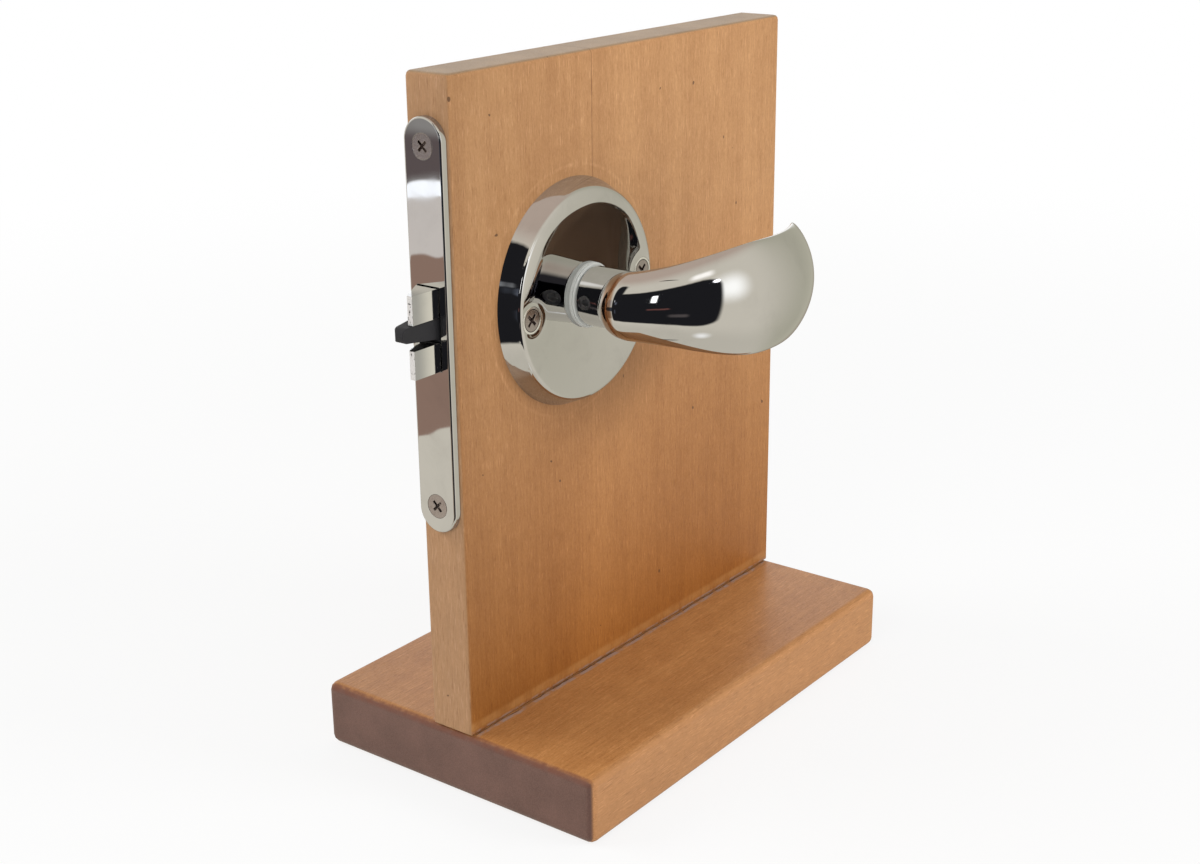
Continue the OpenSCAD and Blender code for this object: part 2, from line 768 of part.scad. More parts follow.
// The grip is a skin of rings, closer together towards both ends
module grip() {
    ring_s = [for (i = [1:grip_rings - 1]) grip_length * (1 - cos(180 * i / grip_rings)) / 2];
    skin = [for (s = ring_s) for (j = [0:grip_sides - 1]) grip_point(s, 360 * j / grip_sides)];
    points = concat(skin, [grip_point(0, 0), grip_point(grip_length, 0)]);
    nose = len(skin);
    last = (grip_rings - 2) * grip_sides;
    walls = [for (i = [0:grip_rings - 3]) for (j = [0:grip_sides - 1]) let (k = (j + 1) % grip_sides)
        [i * grip_sides + j, i * grip_sides + k, (i + 1) * grip_sides + k, (i + 1) * grip_sides + j]];
    nose_cap = [for (j = [0:grip_sides - 1]) [nose, (j + 1) % grip_sides, j]];
    tip_cap = [for (j = [0:grip_sides - 1]) [nose + 1, last + j, last + (j + 1) % grip_sides]];
    polyhedron(points, concat(walls, nose_cap, tip_cap), convexity = 6);
}

// The round neck, which runs on into the grip
module neck() {
    intersection() {
        rod_y(neck_diameter, -grip_middle_y - grip_sweep, -neck_start);
        translate([nose_middle[0], nose_middle[1], 0])
            cylinder(h = 2 * neck_diameter, r = nose_sweep + neck_sink, center = true, $fn = 128);
    }
}

module front_lever() {
    color(chrome_colour) at_hub() difference() {
        union() {
            grip();
            neck();
            rod_y(journal_diameter, -neck_start, -journal_end);
        }
        translate([-spindle_hole / 2, -spindle_end - side_gap, -spindle_hole / 2])
            cube([spindle_hole, spindle_end, spindle_hole]);
        translate([0, -grub_y, 0]) rod_x(grub_diameter + 2 * hole_gap, -neck_diameter, 0);
    }
}

module rear_lever() {
    on_rear() front_lever();
}

// Set screw with a hexagon socket, pressed on the spindle from the latch side
module front_grub_screw() {
    color(steel_colour) at_hub() translate([0, -grub_y, 0]) difference() {
        rod_x(grub_diameter, -spindle_side / 2 - grub_length, -spindle_side / 2);
        translate([-spindle_side / 2 - grub_length - 1, 0, 0]) rotate([0, 90, 0])
            cylinder(h = 1 + grub_length / 2, d = grub_socket, $fn = 6);
    }
}

module rear_grub_screw() {
    on_rear() front_grub_screw();
}

stand_base();
stand_panel();
stand_screws();
face_plate();
plate_screws();
latch_case();
case_cover();
cover_screws();
bolt_head();
tongue();
tongue_spring();
bolt_tail();
tail_rivets();
spring_guide();
bolt_spring();
follower();
follower_spring();
stop_pins();
spindle();
front_rose();
rear_rose();
rose_screws();
sleeve_nuts();
front_bush();
rear_bush();
front_lever();
rear_lever();
front_grub_screw();
rear_grub_screw();
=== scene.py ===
"""Mortise lever latch on a wooden display stand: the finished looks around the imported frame.

All sizes are in metres, in the frame's own axes: +X from the latch edge along the panel, -Y out of the
panel's front with the lever, +Z up, with the origin in the middle of the base's underside.
"""

import json
import math

import bmesh
import bpy
import numpy as np
from mathutils import Matrix, Vector

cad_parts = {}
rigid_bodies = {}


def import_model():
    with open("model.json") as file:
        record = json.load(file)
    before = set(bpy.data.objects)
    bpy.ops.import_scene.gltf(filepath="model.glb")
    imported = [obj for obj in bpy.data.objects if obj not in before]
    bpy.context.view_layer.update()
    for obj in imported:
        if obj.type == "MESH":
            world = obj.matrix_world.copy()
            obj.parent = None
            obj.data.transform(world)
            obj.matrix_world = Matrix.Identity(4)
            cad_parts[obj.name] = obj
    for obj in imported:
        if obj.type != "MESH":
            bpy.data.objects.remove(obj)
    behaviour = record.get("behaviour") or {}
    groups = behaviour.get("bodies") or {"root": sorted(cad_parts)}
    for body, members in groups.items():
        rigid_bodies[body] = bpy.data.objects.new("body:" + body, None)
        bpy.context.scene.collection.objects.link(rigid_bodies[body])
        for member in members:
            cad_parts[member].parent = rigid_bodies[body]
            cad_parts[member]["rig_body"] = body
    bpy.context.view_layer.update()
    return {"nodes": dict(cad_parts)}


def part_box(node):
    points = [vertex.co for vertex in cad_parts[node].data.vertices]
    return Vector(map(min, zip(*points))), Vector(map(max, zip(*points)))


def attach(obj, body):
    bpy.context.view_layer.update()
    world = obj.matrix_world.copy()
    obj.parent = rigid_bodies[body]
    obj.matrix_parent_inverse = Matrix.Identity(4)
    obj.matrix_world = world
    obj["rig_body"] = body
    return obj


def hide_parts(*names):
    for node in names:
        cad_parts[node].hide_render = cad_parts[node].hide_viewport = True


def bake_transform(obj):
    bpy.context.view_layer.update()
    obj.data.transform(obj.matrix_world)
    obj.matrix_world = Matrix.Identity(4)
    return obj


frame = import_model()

bl_info = {
    "name": "Mortise lever latch",
    "version": (1, 0, 0),
    "blender": (4, 5, 0),
    "location": "3D View > Sidebar > Latch",
    "description": "Levers, roses, bolt and wooden stand of a mortise lever latch",
    "category": "Object",
}

MM = 0.001


def mesh_points(mesh):
    """The points of a mesh, as rows of x, y and z."""
    points = np.empty(3 * len(mesh.vertices))
    mesh.vertices.foreach_get("co", points)
    return points.reshape(-1, 3)


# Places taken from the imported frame
BUSH_LOW, BUSH_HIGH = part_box("front_bush")
HUB_X = (BUSH_LOW.x + BUSH_HIGH.x) / 2
HUB_Z = (BUSH_LOW.z + BUSH_HIGH.z) / 2
PANEL_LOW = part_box("stand_panel")[0]
BASE_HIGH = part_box("stand_base")[1]
GRUB_LOW, GRUB_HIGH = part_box("front_grub_screw")
BOLT_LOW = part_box("bolt_head")[0]

# The middles of the rose's two screws, as x and z
SCREW_POINTS = mesh_points(frame["nodes"]["rose_screws"].data)
ROSE_SCREWS = tuple(
    tuple((side.min(0) + side.max(0))[[0, 2]] / 2)
    for side in (SCREW_POINTS[SCREW_POINTS[:, 0] < HUB_X], SCREW_POINTS[SCREW_POINTS[:, 0] > HUB_X])
)

# Painted light round the middle of each rose screw: a bright band, a painted highlight on the countersink's
# rim, and a dark band, painted shade in the groove inside it; where each begins, where it ends, and its
# colour
COUNTERSINK_PAINTED_LIGHT = (
    ((3.9 * MM, 4.1 * MM), (6 * MM, 7 * MM), (0.92, 0.92, 0.90)),
    ((3.65 * MM, 3.8 * MM), (3.95 * MM, 4.1 * MM), (0.10, 0.09, 0.09)),
)

# The boards' rounded edges, with how far the panel's rounded shape goes on below it so that its foot stays
# sharp, and their sheen
BASE_RADIUS = 3.2 * MM
PANEL_RADIUS = 1.9 * MM
PANEL_FOOT = 10 * MM
BASE_SHEEN = 0.16
PANEL_SHEEN = 0.04

# Slow changes of the panel's colour: how far in from its latch edge painted shade darkens it, and the heights
# between which the painted shade that deepens its foot fades and its joint line grows clear
EDGE_PAINTED_SHADE = 80 * MM
FOOT_PAINTED_SHADE = (30 * MM, 190 * MM)
JOINT_CLEAR = (190 * MM, 225 * MM)

# How far the seam along the panel wanders
SEAM_WAVES = 2.2 * MM

# Broken lines on the boards: place, half width, softness, size of the patches that break it, evenness, and
# colour, or tint where the line only changes the wood under it.  The ring goes round the rose.  The seam and
# the gap run along the panel's foot, on the base, and their place is counted from the panel's middle.
RING = (44.5 * MM, 0.5 * MM, 0.4 * MM, 9 * MM, 0.1, (1.12, 1.16, 1.24))
JOINT = (-24 * MM, 0.22 * MM, 0.18 * MM, 14 * MM, 0.5, (0.50, 0.42, 0.38))
FOOT_BAND = (PANEL_LOW.z + 3.2 * MM, 1.5 * MM, 0.9 * MM, 7 * MM, 0.45, (0.60, 0.31, 0.105))
FOOT_FILLER = (PANEL_LOW.z + 0.5 * MM, 0.9 * MM, 0.5 * MM, 3 * MM, 0.1, (0.40, 0.27, 0.21))
SEAM = (10.4 * MM, 0.9 * MM, 0.35 * MM, 3 * MM, 0.15, (0.37, 0.25, 0.20))
GAP = (9.45 * MM, 0.22 * MM, 0.14 * MM, 6 * MM, 0.4, (0.045, 0.022, 0.016))
END_EDGE = (BASE_HIGH.x - 0.9 * MM, 0.9 * MM, 0.5 * MM, 4 * MM, 0.5, (0.17, 0.055, 0.028))

# Metal finishes: the setting that holds the colour, the roughness where it is clean and where it is smudged,
# the size of the smudges and the height of the bump
METAL_FINISHES = {
    "polished_chrome": ("chrome", 0.012, 0.04, 15 * MM, 0.0),
    "lever_chrome": ("chrome", 0.025, 0.07, 15 * MM, 0.0),
    "rose_chrome": ("chrome", 0.025, 0.07, 15 * MM, 0.0),
    "bolt_chrome": ("chrome", 0.05, 0.14, 6 * MM, 0.0),
    "nickel_screws": ("screw", 0.16, 0.30, 2 * MM, 0.02 * MM),
    "rose_screw_nickel": ("screw", 0.16, 0.30, 2 * MM, 0.02 * MM),
    "zinc_plate": ("steel", 0.30, 0.48, 4 * MM, 0.03 * MM),
    "spring_wire": ("wire", 0.26, 0.42, 1 * MM, 0.01 * MM),
}

# Nylon finishes: the setting that holds the colour, the roughness and how much paler the mottle is
NYLON_FINISHES = {
    "pale_nylon": ("pale", 0.34, 1.12),
    "black_nylon": ("black", 0.38, 1.8),
}

# The lever's neck starts just in front of its bush, with a small lip, and its journal ends inside the rose.
# Its skin ends inside the grip, in front of the grip's nose sweep.
NECK_LENGTH = 13.5 * MM
NECK_START = BUSH_LOW.y - 0.3 * MM
NECK_INSET = 4.5 * MM
NECK_SIDES = 150
COLLAR_LIP = 0.4 * MM
JOURNAL_END = PANEL_LOW.y - 1.5 * MM
NOSE_DEPTH = NECK_LENGTH - NECK_START

# The set screw's pit in the neck: the gap round the screw and the depth
PIT_GAP = 0.1 * MM
PIT_DEPTH = 4 * MM

# The rose's pressed face, by the distance from its middle: how far out the dish deepens, where it eases, and
# where the rim rolls over and how steeply.  By the distance from a screw: its dimple and the dimple's slope.
DISH_END = 26 * MM
DISH_EASE = (30 * MM, 36 * MM)
RIM = (27 * MM, 37 * MM)
RIM_SLOPE = 0.34
DIMPLE = (5 * MM, 9 * MM)
DIMPLE_SLOPE = -0.16

# The way in which the nose's rounding looks at the wood, where the chrome gets its painted reflection of the
# wood, as x and as y away from the panel
TOWARDS_WOOD = (-0.5, -0.866)

# The grip along its length: the rounding of its tip and how blunt that is, the rounding of its nose in height
# and in thickness, where it widens, where it thins, and how far it bulges at the nose
TIP_ROUND = 16 * MM
TIP_BLUNTNESS = 2.2
NOSE_ROUND = 11 * MM
NOSE_EDGE = 8 * MM
WIDEN_START = 7 * MM
WIDEN_LENGTH = 53 * MM
THIN_LENGTH = 44 * MM
NOSE_CROWN = 1 * MM

# Edges sharper than the first two angles stay sharp in the light, and below the third faces are one flat face
SHARP_ANGLE = math.radians(32)
LEVER_SHARP_ANGLE = math.radians(40)
FLAT_ANGLE = math.radians(0.3)

# Points of a node's mesh nearer than the first, and of a new skin nearer than the second, are one, and cuts
# and divisions count lengths below the third as nothing
NODE_MERGE = 0.002 * MM
SKIN_MERGE = 0.0001 * MM
TINY = 0.001 * MM

# The softening of the edges of the smaller pieces
BOLT_EDGE = 0.3 * MM
BUSH_EDGE = 0.2 * MM
SCREW_EDGE = 0.15 * MM
SMALL_SCREW_EDGE = 0.12 * MM

# The coil springs, with the bodies that their ends towards the latch edge and away from it press on
SPRINGS = (
    ("bolt_spring", "bolt", "stand"),
    ("follower_spring", "stand", "handle"),
    ("tongue_spring", "tongue", "bolt"),
)

# The pieces inside the panel that keep their own mesh
PLAIN_STEEL = (
    "latch_case", "case_cover", "cover_screws", "bolt_tail", "tail_rivets", "spring_guide", "follower",
    "stop_pins", "spindle",
)

# Where the photograph was taken from, and the lens and the width of its picture, in millimetres
CAMERA_PLACE = (-514.6 * MM, -385.3 * MM, 334.1 * MM)
CAMERA_AZIMUTH = -52.68
CAMERA_ELEVATION = 19.29
CAMERA_ROLL = -0.62
CAMERA_LENS = 53.77
CAMERA_PICTURE = 36

# The floor's half width and level
FLOOR_HALF = 6.0
FLOOR_LEVEL = -0.1 * MM

# The lamps, which look at one place: where they stand, their size, and their share of the key lamp's power
LAMP_TARGET = Vector((0, 0, 0.14))
LAMPS = {
    "key_lamp": ((0.36, -0.85, 0.62), (0.45, 0.35), 1.0),
    "left_lamp": ((-1.3, -0.3, 0.7), (0.8, 0.8), 1.2),
    "rear_lamp": ((-0.8, 1.2, 1.3), (0.9, 0.9), 2.6),
}

# Slight waves in the tent, in degrees
TENT_WAVES = 1.4

# Cards of the tent, in the order that they are laid: middle and half size in degrees, corner, softness,
# colour and strength
TENT_CARDS = (
    ((-127, -4.0), (13, 7.2), 3, 0.12, (0.34, 0.325, 0.315), 1.0),
    ((-127, -10.4), (13, 0.7), 0.5, 0.5, (0.145, 0.115, 0.115), 1.0),
    ((-129, -11.5), (18, 0.3), 0.2, 0.12, (1.5, 1.55, 1.65), 1.0),
    ((-131, -12.7), (18, 1.0), 0.3, 0.08, (0.80, 0.74, 0.70), 1.0),
    ((-131, -16.4), (18, 2.8), 0.4, 0.08, (0.36, 0.235, 0.185), 1.0),
    ((-108, -24), (14, 10), 5, 4, (0.34, 0.235, 0.16), 0.9),
    ((-106, 8), (11, 9), 5, 4, (0.52, 0.53, 0.56), 1.0),
    ((-101, -8), (16, 6), 3, 4, (0.05, 0.06, 0.08), 1.0),
    ((-12, 12), (12, 13), 12, 22, (1.5, 1.5, 1.47), 1.0),
    ((-29, 38), (6, 4), 3, 6, (1.7, 1.65, 1.6), 0.8),
    ((-83, 6), (9, 46), 6, 4, (0.016, 0.016, 0.019), 1.0),
    ((-51, -5), (33, 35), 12, 3, (0.016, 0.016, 0.019), 1.0),
    ((-83, 14), (1.4, 2.5), 1.4, 3, (0.7, 0.72, 0.76), 0.9),
    ((-78, 8), (2.5, 3), 1.5, 3, (0.16, 0.18, 0.23), 0.8),
    ((-79, -14), (2, 5), 1.5, 3, (0.08, 0.09, 0.12), 0.8),
    ((-52, 12), (1.5, 7), 1, 1, (3.0, 3.0, 3.0), 1.0),
    ((-49, -9), (6, 1.2), 1, 2, (0.36, 0.14, 0.12), 0.5),
    ((-38, -22), (5, 2.5), 2, 3, (0.14, 0.12, 0.12), 0.7),
    ((-21, 24), (1.8, 1.8), 1.8, 2, (4.0, 4.0, 4.2), 1.0),
    ((-20, -56), (4, 4), 4, 8, (1.3, 1.3, 1.3), 0.9),
)


def settings(kind):
    """The property group of one kind: wood, metal, nylon, lever or stage."""
    return getattr(bpy.context.scene, "latch_" + kind)


def colour_property(name, description, default):
    """A colour that a user may change."""
    return bpy.props.FloatVectorProperty(
        name=name, description=description, default=default, size=3, min=0, max=1, subtype="COLOR"
    )


def length_property(name, description, default):
    """A length in metres that a user may change."""
    return bpy.props.FloatProperty(
        name=name, description=description, default=default, min=0, subtype="DISTANCE", unit="LENGTH",
        precision=5,
    )


def angle_property(name, description, degrees):
    """An angle that a user may change, given in degrees and kept in radians."""
    return bpy.props.FloatProperty(
        name=name, description=description, default=math.radians(degrees), subtype="ANGLE", unit="ROTATION"
    )


class WoodSettings(bpy.types.PropertyGroup):
    """Colours and grain of the two boards."""

    panel_light: colour_property("Panel light", "Pale wood of the panel", (0.60, 0.318, 0.138))
    panel_dark: colour_property("Panel dark", "Darker wood of the panel", (0.42, 0.200, 0.078))
    # The foot's tint is painted shade: it darkens and reddens the panel's face towards its foot
    painted_foot_shade: colour_property("Foot tint", "Deeper tone of the panel's foot", (0.74, 0.53, 0.24))
    base_light: colour_property("Base light", "Pale wood of the base", (0.56, 0.265, 0.090))
    base_dark: colour_property("Base dark", "Darker wood of the base", (0.36, 0.148, 0.042))
    side_colour: colour_property("Base sides", "Wood of the base's long sides", (0.53, 0.245, 0.090))
    edge_colour: colour_property("Panel edge", "Wood of the panel's narrow sides", (0.42, 0.230, 0.112))
    panel_end: colour_property("Panel end grain", "End grain on the panel's top", (0.315, 0.21, 0.12))
    base_end: colour_property("Base end grain", "Dark end grain of the base", (0.150, 0.075, 0.056))
    fleck_length: length_property("Fleck length", "Length of the flecks along the grain", 5 * MM)
    fleck_width: length_property("Fleck width", "Width of the flecks across the grain", 0.4 * MM)


class MetalSettings(bpy.types.PropertyGroup):
    """Colours of the metal finishes."""

    chrome: colour_property("Chrome", "Polished chrome plate", (0.64, 0.64, 0.635))
    screw: colour_property("Screws", "Nickel plate of the screws", (0.43, 0.385, 0.37))
    steel: colour_property("Steel", "Zinc plated steel", (0.52, 0.53, 0.55))
    wire: colour_property("Wire", "Drawn spring wire", (0.40, 0.40, 0.42))
    rose_dish: bpy.props.FloatProperty(
        name="Rose dish", description="Slope of the rose's face at its edge towards the middle", default=0.10
    )
    edge_radius: length_property("Edge radius", "Softening of the plated edges", 0.25 * MM)


class NylonSettings(bpy.types.PropertyGroup):
    """Colours of the moulded parts."""

    pale: colour_property("Pale nylon", "Bushes under the levers", (0.30, 0.32, 0.31))
    black: colour_property("Black nylon", "Tongue of the bolt", (0.010, 0.010, 0.011))


class LeverSettings(bpy.types.PropertyGroup):
    """Sizes of the lever's scooped grip, which sweeps along two arcs seen from above."""

    sweep: length_property("Sweep radius", "Radius of the arc towards the tip", 44 * MM)
    nose_sweep: length_property("Nose sweep radius", "Radius of the wider arc by the nose", 56.5 * MM)
    centre: length_property("Sweep centre", "From the lever's axis to the tip arc's centre", 39 * MM)
    setback: length_property("Sweep setback", "From the nose back to the tip arc's centre", 9.35 * MM)
    nose_angle: angle_property("Nose angle", "Where the wider arc starts by the neck", 75)
    join_angle: angle_property("Join angle", "Where the two arcs meet", 35)
    tip_angle: angle_property("Tip angle", "Where the tip arc ends", -46)
    neck_length: length_property("Neck length", "From the bush to the grip's nose", NECK_LENGTH)
    neck_radius: length_property("Neck radius", "Radius of the round neck", 10.5 * MM)
    journal_radius: length_property("Journal radius", "Radius of the journal in the bush", 8.5 * MM)
    height: length_property("Grip height", "Height of the grip at its widest", 40.4 * MM)
    thickness: length_property("Grip thickness", "Thickness of the grip along its middle", 7 * MM)
    nose_height: length_property("Nose height", "Height of the grip at its nose", 24 * MM)
    nose_thickness: length_property("Nose thickness", "Thickness of the grip at its nose", 15 * MM)
    crown: length_property("Crown", "How far the grip bulges along its middle", 4.9 * MM)


class StageSettings(bpy.types.PropertyGroup):
    """Floor and lights."""

    floor_colour: colour_property("Floor", "Plain pale floor", (0.86, 0.86, 0.85))
    ambient: bpy.props.FloatProperty(
        name="Ambient", description="Level of the soft light all round", default=0.56
    )
    key_power: bpy.props.FloatProperty(
        name="Key lamp", description="Power of the large soft lamp", default=4.3, unit="POWER"
    )


def feed(tree, socket, value):
    """Joins a socket to another one, or sets its own value, where a colour may come without its alpha."""
    if isinstance(value, bpy.types.NodeSocket):
        tree.links.new(value, socket)
    elif socket.type == "RGBA":
        socket.default_value = (*value[:3], 1.0)
    else:
        socket.default_value = value


def add_node(tree, kind, inputs=None, **values):
    """A shader node of one kind, its inputs either set to values or joined to sockets."""
    made = tree.nodes.new("ShaderNode" + kind)
    for name, value in values.items():
        setattr(made, name, value)
    for key, value in (inputs or {}).items():
        feed(tree, made.inputs[key], value)
    return made


def arithmetic(tree, operation, first, second=0.0):
    """The result of one sum on two values or sockets."""
    return add_node(tree, "Math", {0: first, 1: second}, operation=operation).outputs[0]


def product(tree, *values):
    """All the values or sockets multiplied together."""
    result = values[0]
    for value in values[1:]:
        result = arithmetic(tree, "MULTIPLY", result, value)
    return result


def vector_sum(tree, operation, first, second=(0, 0, 0), third=(0, 0, 0), scale=1.0):
    """The result of one sum on vectors, which is a number for a length and a vector for all others."""
    inputs = {0: first, 1: second, 2: third, 3: scale}
    made = add_node(tree, "VectorMath", inputs, operation=operation)
    return made.outputs["Value" if operation == "LENGTH" else "Vector"]


def split(tree, vector):
    """The parts of a vector, by axis."""
    return add_node(tree, "SeparateXYZ", {0: vector}).outputs


def combine(tree, x, y, z=0.0):
    """A vector from its parts."""
    return add_node(tree, "CombineXYZ", {"X": x, "Y": y, "Z": z}).outputs[0]


def blend_colours(tree, share, first, second, mode="MIX"):
    """One colour laid over another by a share."""
    made = add_node(tree, "Mix", data_type="RGBA", blend_type=mode)
    for socket, value in ((0, share), (6, first), (7, second)):
        feed(tree, made.inputs[socket], value)
    return made.outputs[2]


def tinted(tree, colour, tint):
    """A colour multiplied by another."""
    return blend_colours(tree, 1.0, colour, tint, "MULTIPLY")


def lay(tree, colour, shade, *masks):
    """A colour with a shade laid over it, by the product of all the masks."""
    return blend_colours(tree, product(tree, *masks), colour, shade)


def remap(tree, value, low, high, to_low=0.0, to_high=1.0, smooth=True):
    """A value taken from one range to another and held at both ends, which are eased unless smooth is off."""
    inputs = {"Value": value, "From Min": low, "From Max": high, "To Min": to_low, "To Max": to_high}
    kind = "SMOOTHSTEP" if smooth else "LINEAR"
    return add_node(tree, "MapRange", inputs, interpolation_type=kind).outputs["Result"]


def noise(tree, vector, scale, detail=2.0, roughness=0.5, distortion=0.0):
    """A soft random pattern between 0 and 1."""
    inputs = {
        "Vector": vector, "Scale": scale, "Detail": detail, "Roughness": roughness, "Distortion": distortion
    }
    return add_node(tree, "TexNoise", inputs).outputs["Fac"]


def new_group(name, inputs, outputs):
    """An empty shader node group, with the sockets inside it.

    Inputs are given by name with their defaults: a vector has none, a colour three numbers and a value one.
    """
    group = bpy.data.node_groups.new(name, "ShaderNodeTree")
    kinds = {type(None): "NodeSocketVector", tuple: "NodeSocketColor", float: "NodeSocketFloat"}
    for socket_name, default in inputs.items():
        socket = group.interface.new_socket(socket_name, in_out="INPUT", socket_type=kinds[type(default)])
        if default is not None:
            socket.default_value = (*default, 1.0) if isinstance(default, tuple) else default
    for socket_name in outputs:
        kind = "NodeSocketColor" if socket_name == "Color" else "NodeSocketFloat"
        group.interface.new_socket(socket_name, in_out="OUTPUT", socket_type=kind)
    return group, group.nodes.new("NodeGroupInput").outputs, group.nodes.new("NodeGroupOutput").inputs


def use_group(tree, name, build, inputs):
    """The outputs of one use of a node group with its own values; the first use builds the group."""
    made = add_node(tree, "Group", node_tree=bpy.data.node_groups.get(name) or build(name))
    for key, value in inputs.items():
        feed(tree, made.inputs[key], value)
    return made.outputs


def build_grain(name):
    """Close straight grain along Z: soft bands, thin streaks, a fine mottle and pale and dark flecks."""
    inputs = {
        "Vector": None, "Light": (0.5, 0.25, 0.1), "Dark": (0.3, 0.13, 0.05), "Band Width": 20 * MM,
        "Fleck Width": 0.4 * MM, "Fleck Length": 5 * MM, "Contrast": 1.0,
    }
    group, given, result = new_group(name, inputs, ("Color", "Height", "Roughness"))
    fleck_width = given["Fleck Width"]
    fleck_length = given["Fleck Length"]

    def stretched(width, length, shift=0.0):
        """Coordinates counted in pattern widths across the grain and lengths along it."""
        across = arithmetic(group, "DIVIDE", 1.0, width)
        scale = combine(group, across, across, arithmetic(group, "DIVIDE", 1.0, length))
        return vector_sum(group, "MULTIPLY_ADD", given["Vector"], scale, (shift, shift, shift))

    bands = stretched(given["Band Width"], product(group, given["Band Width"], 9.0))
    bands = noise(group, bands, 1.0, 3.0, 0.5, 0.3)
    streaks = stretched(product(group, fleck_width, 3.0), product(group, fleck_length, 9.0))
    streaks = noise(group, streaks, 1.0, 3.0, 0.6)
    clouds = noise(group, given["Vector"], 110.0, 3.0, 0.6)
    mottle = noise(group, stretched(fleck_width, product(group, fleck_width, 2.0)), 0.7, 3.0, 0.75)
    tone = product(group, remap(group, bands, 0.25, 0.75), 0.34)
    shares = ((streaks, 0.2, 0.8, 0.26), (mottle, 0.28, 0.72, 0.26), (clouds, 0.3, 0.7, 0.14))
    for pattern, low, high, share in shares:
        tone = arithmetic(group, "ADD", tone, product(group, remap(group, pattern, low, high), share))
    spread = product(group, arithmetic(group, "SUBTRACT", tone, 0.5), given["Contrast"])
    colour = blend_colours(group, arithmetic(group, "ADD", spread, 0.5), given["Light"], given["Dark"])
    pale = remap(group, noise(group, stretched(fleck_width, fleck_length), 1.0, 1.5), 0.55, 0.72)
    dark = remap(group, noise(group, stretched(fleck_width, fleck_length, 31.0), 1.0, 1.5), 0.55, 0.74)
    lifted = tinted(group, colour, (1.26, 1.34, 1.55))
    sunk = tinted(group, colour, (0.74, 0.66, 0.58))
    colour = lay(group, colour, lifted, pale, 0.75)
    feed(group, result["Color"], lay(group, colour, sunk, dark, 0.7))
    feed(group, result["Height"], arithmetic(group, "SUBTRACT", product(group, mottle, 0.5), dark))
    feed(group, result["Roughness"], remap(group, mottle, 0.2, 0.8, 0.40, 0.56))
    return group


def build_line(name):
    """A soft line where a value passes a place, broken up by an uneven pattern."""
    inputs = {
        "Vector": None, "Value": 0.0, "Place": 0.0, "Half Width": 0.3 * MM, "Softness": 0.2 * MM,
        "Patch Size": 10 * MM, "Evenness": 0.5,
    }
    group, given, result = new_group(name, inputs, ("Mask",))
    away = arithmetic(group, "ABSOLUTE", arithmetic(group, "SUBTRACT", given["Value"], given["Place"]))
    inner = arithmetic(group, "SUBTRACT", given["Half Width"], given["Softness"])
    outer = arithmetic(group, "ADD", given["Half Width"], given["Softness"])
    line = remap(group, away, inner, outer, 1.0, 0.0)
    scale = arithmetic(group, "DIVIDE", 1.0, given["Patch Size"])
    patches = remap(group, noise(group, given["Vector"], scale, 3.0, 0.6), 0.36, 0.62)
    kept = remap(group, patches, 0.0, 1.0, given["Evenness"], 1.0, smooth=False)
    feed(group, result["Mask"], product(group, line, kept))
    return group


def build_end_grain(name):
    """End grain: small pores over faint clouds."""
    inputs = {"Vector": None, "Colour": (0.2, 0.12, 0.08), "Pore Width": 0.4 * MM}
    group, given, result = new_group(name, inputs, ("Color", "Height"))
    scale = arithmetic(group, "DIVIDE", 1.0, given["Pore Width"])
    pores = noise(group, given["Vector"], scale, 2.0, 0.6)
    cloud = noise(group, given["Vector"], 60.0, 4.0, 0.6)
    pored = remap(group, pores, 0.3, 0.7, 0.0, 0.6)
    tone = arithmetic(group, "ADD", pored, remap(group, cloud, 0.3, 0.7, 0.0, 0.4))
    dark = tinted(group, given["Colour"], (0.72, 0.70, 0.70))
    pale = tinted(group, given["Colour"], (1.28, 1.28, 1.30))
    feed(group, result["Color"], blend_colours(group, tone, dark, pale))
    feed(group, result["Height"], pores)
    return group


def build_wear(name):
    """Fine smudges that make a polished surface's roughness uneven."""
    inputs = {"Vector": None, "Clean": 0.03, "Smudged": 0.12, "Size": 20 * MM}
    group, given, result = new_group(name, inputs, ("Roughness", "Mask", "Height"))
    scale = arithmetic(group, "DIVIDE", 1.0, given["Size"])
    cloud = noise(group, given["Vector"], scale, 4.0, 0.6, 0.4)
    mask = remap(group, cloud, 0.45, 0.80)
    spread = arithmetic(group, "SUBTRACT", given["Smudged"], given["Clean"])
    feed(group, result["Roughness"], arithmetic(group, "ADD", given["Clean"], product(group, mask, spread)))
    feed(group, result["Mask"], mask)
    feed(group, result["Height"], cloud)
    return group


def build_card(name):
    """A soft-edged rounded card in the sky, placed by azimuth and elevation in degrees."""
    inputs = {
        "Azimuth": 0.0, "Elevation": 0.0, "Middle Azimuth": 0.0, "Middle Elevation": 0.0, "Half Width": 10.0,
        "Half Height": 10.0, "Corner": 4.0, "Softness": 2.0,
    }
    group, given, result = new_group(name, inputs, ("Mask",))

    def beyond(angle, middle, half):
        """How far an angle lies past the card's straight part."""
        away = arithmetic(group, "ABSOLUTE", arithmetic(group, "SUBTRACT", given[angle], given[middle]))
        straight = arithmetic(group, "SUBTRACT", given[half], given["Corner"])
        return arithmetic(group, "MAXIMUM", arithmetic(group, "SUBTRACT", away, straight), 0.0)

    side = beyond("Azimuth", "Middle Azimuth", "Half Width")
    rise = beyond("Elevation", "Middle Elevation", "Half Height")
    length = vector_sum(group, "LENGTH", combine(group, side, rise))
    share = arithmetic(group, "SUBTRACT", length, given["Corner"])
    share = arithmetic(group, "DIVIDE", share, given["Softness"])
    feed(group, result["Mask"], remap(group, share, -0.5, 0.5, 1.0, 0.0))
    return group


def new_material(name):
    """An empty node material, with its tree, its shader's inputs and its coordinates."""
    material = bpy.data.materials.new(name)
    material.use_nodes = True
    tree = material.node_tree
    tree.nodes.clear()
    shader = add_node(tree, "BsdfPrincipled")
    output = add_node(tree, "OutputMaterial")
    tree.links.new(shader.outputs[0], output.inputs["Surface"])
    return material, tree, shader.inputs, add_node(tree, "TexCoord").outputs


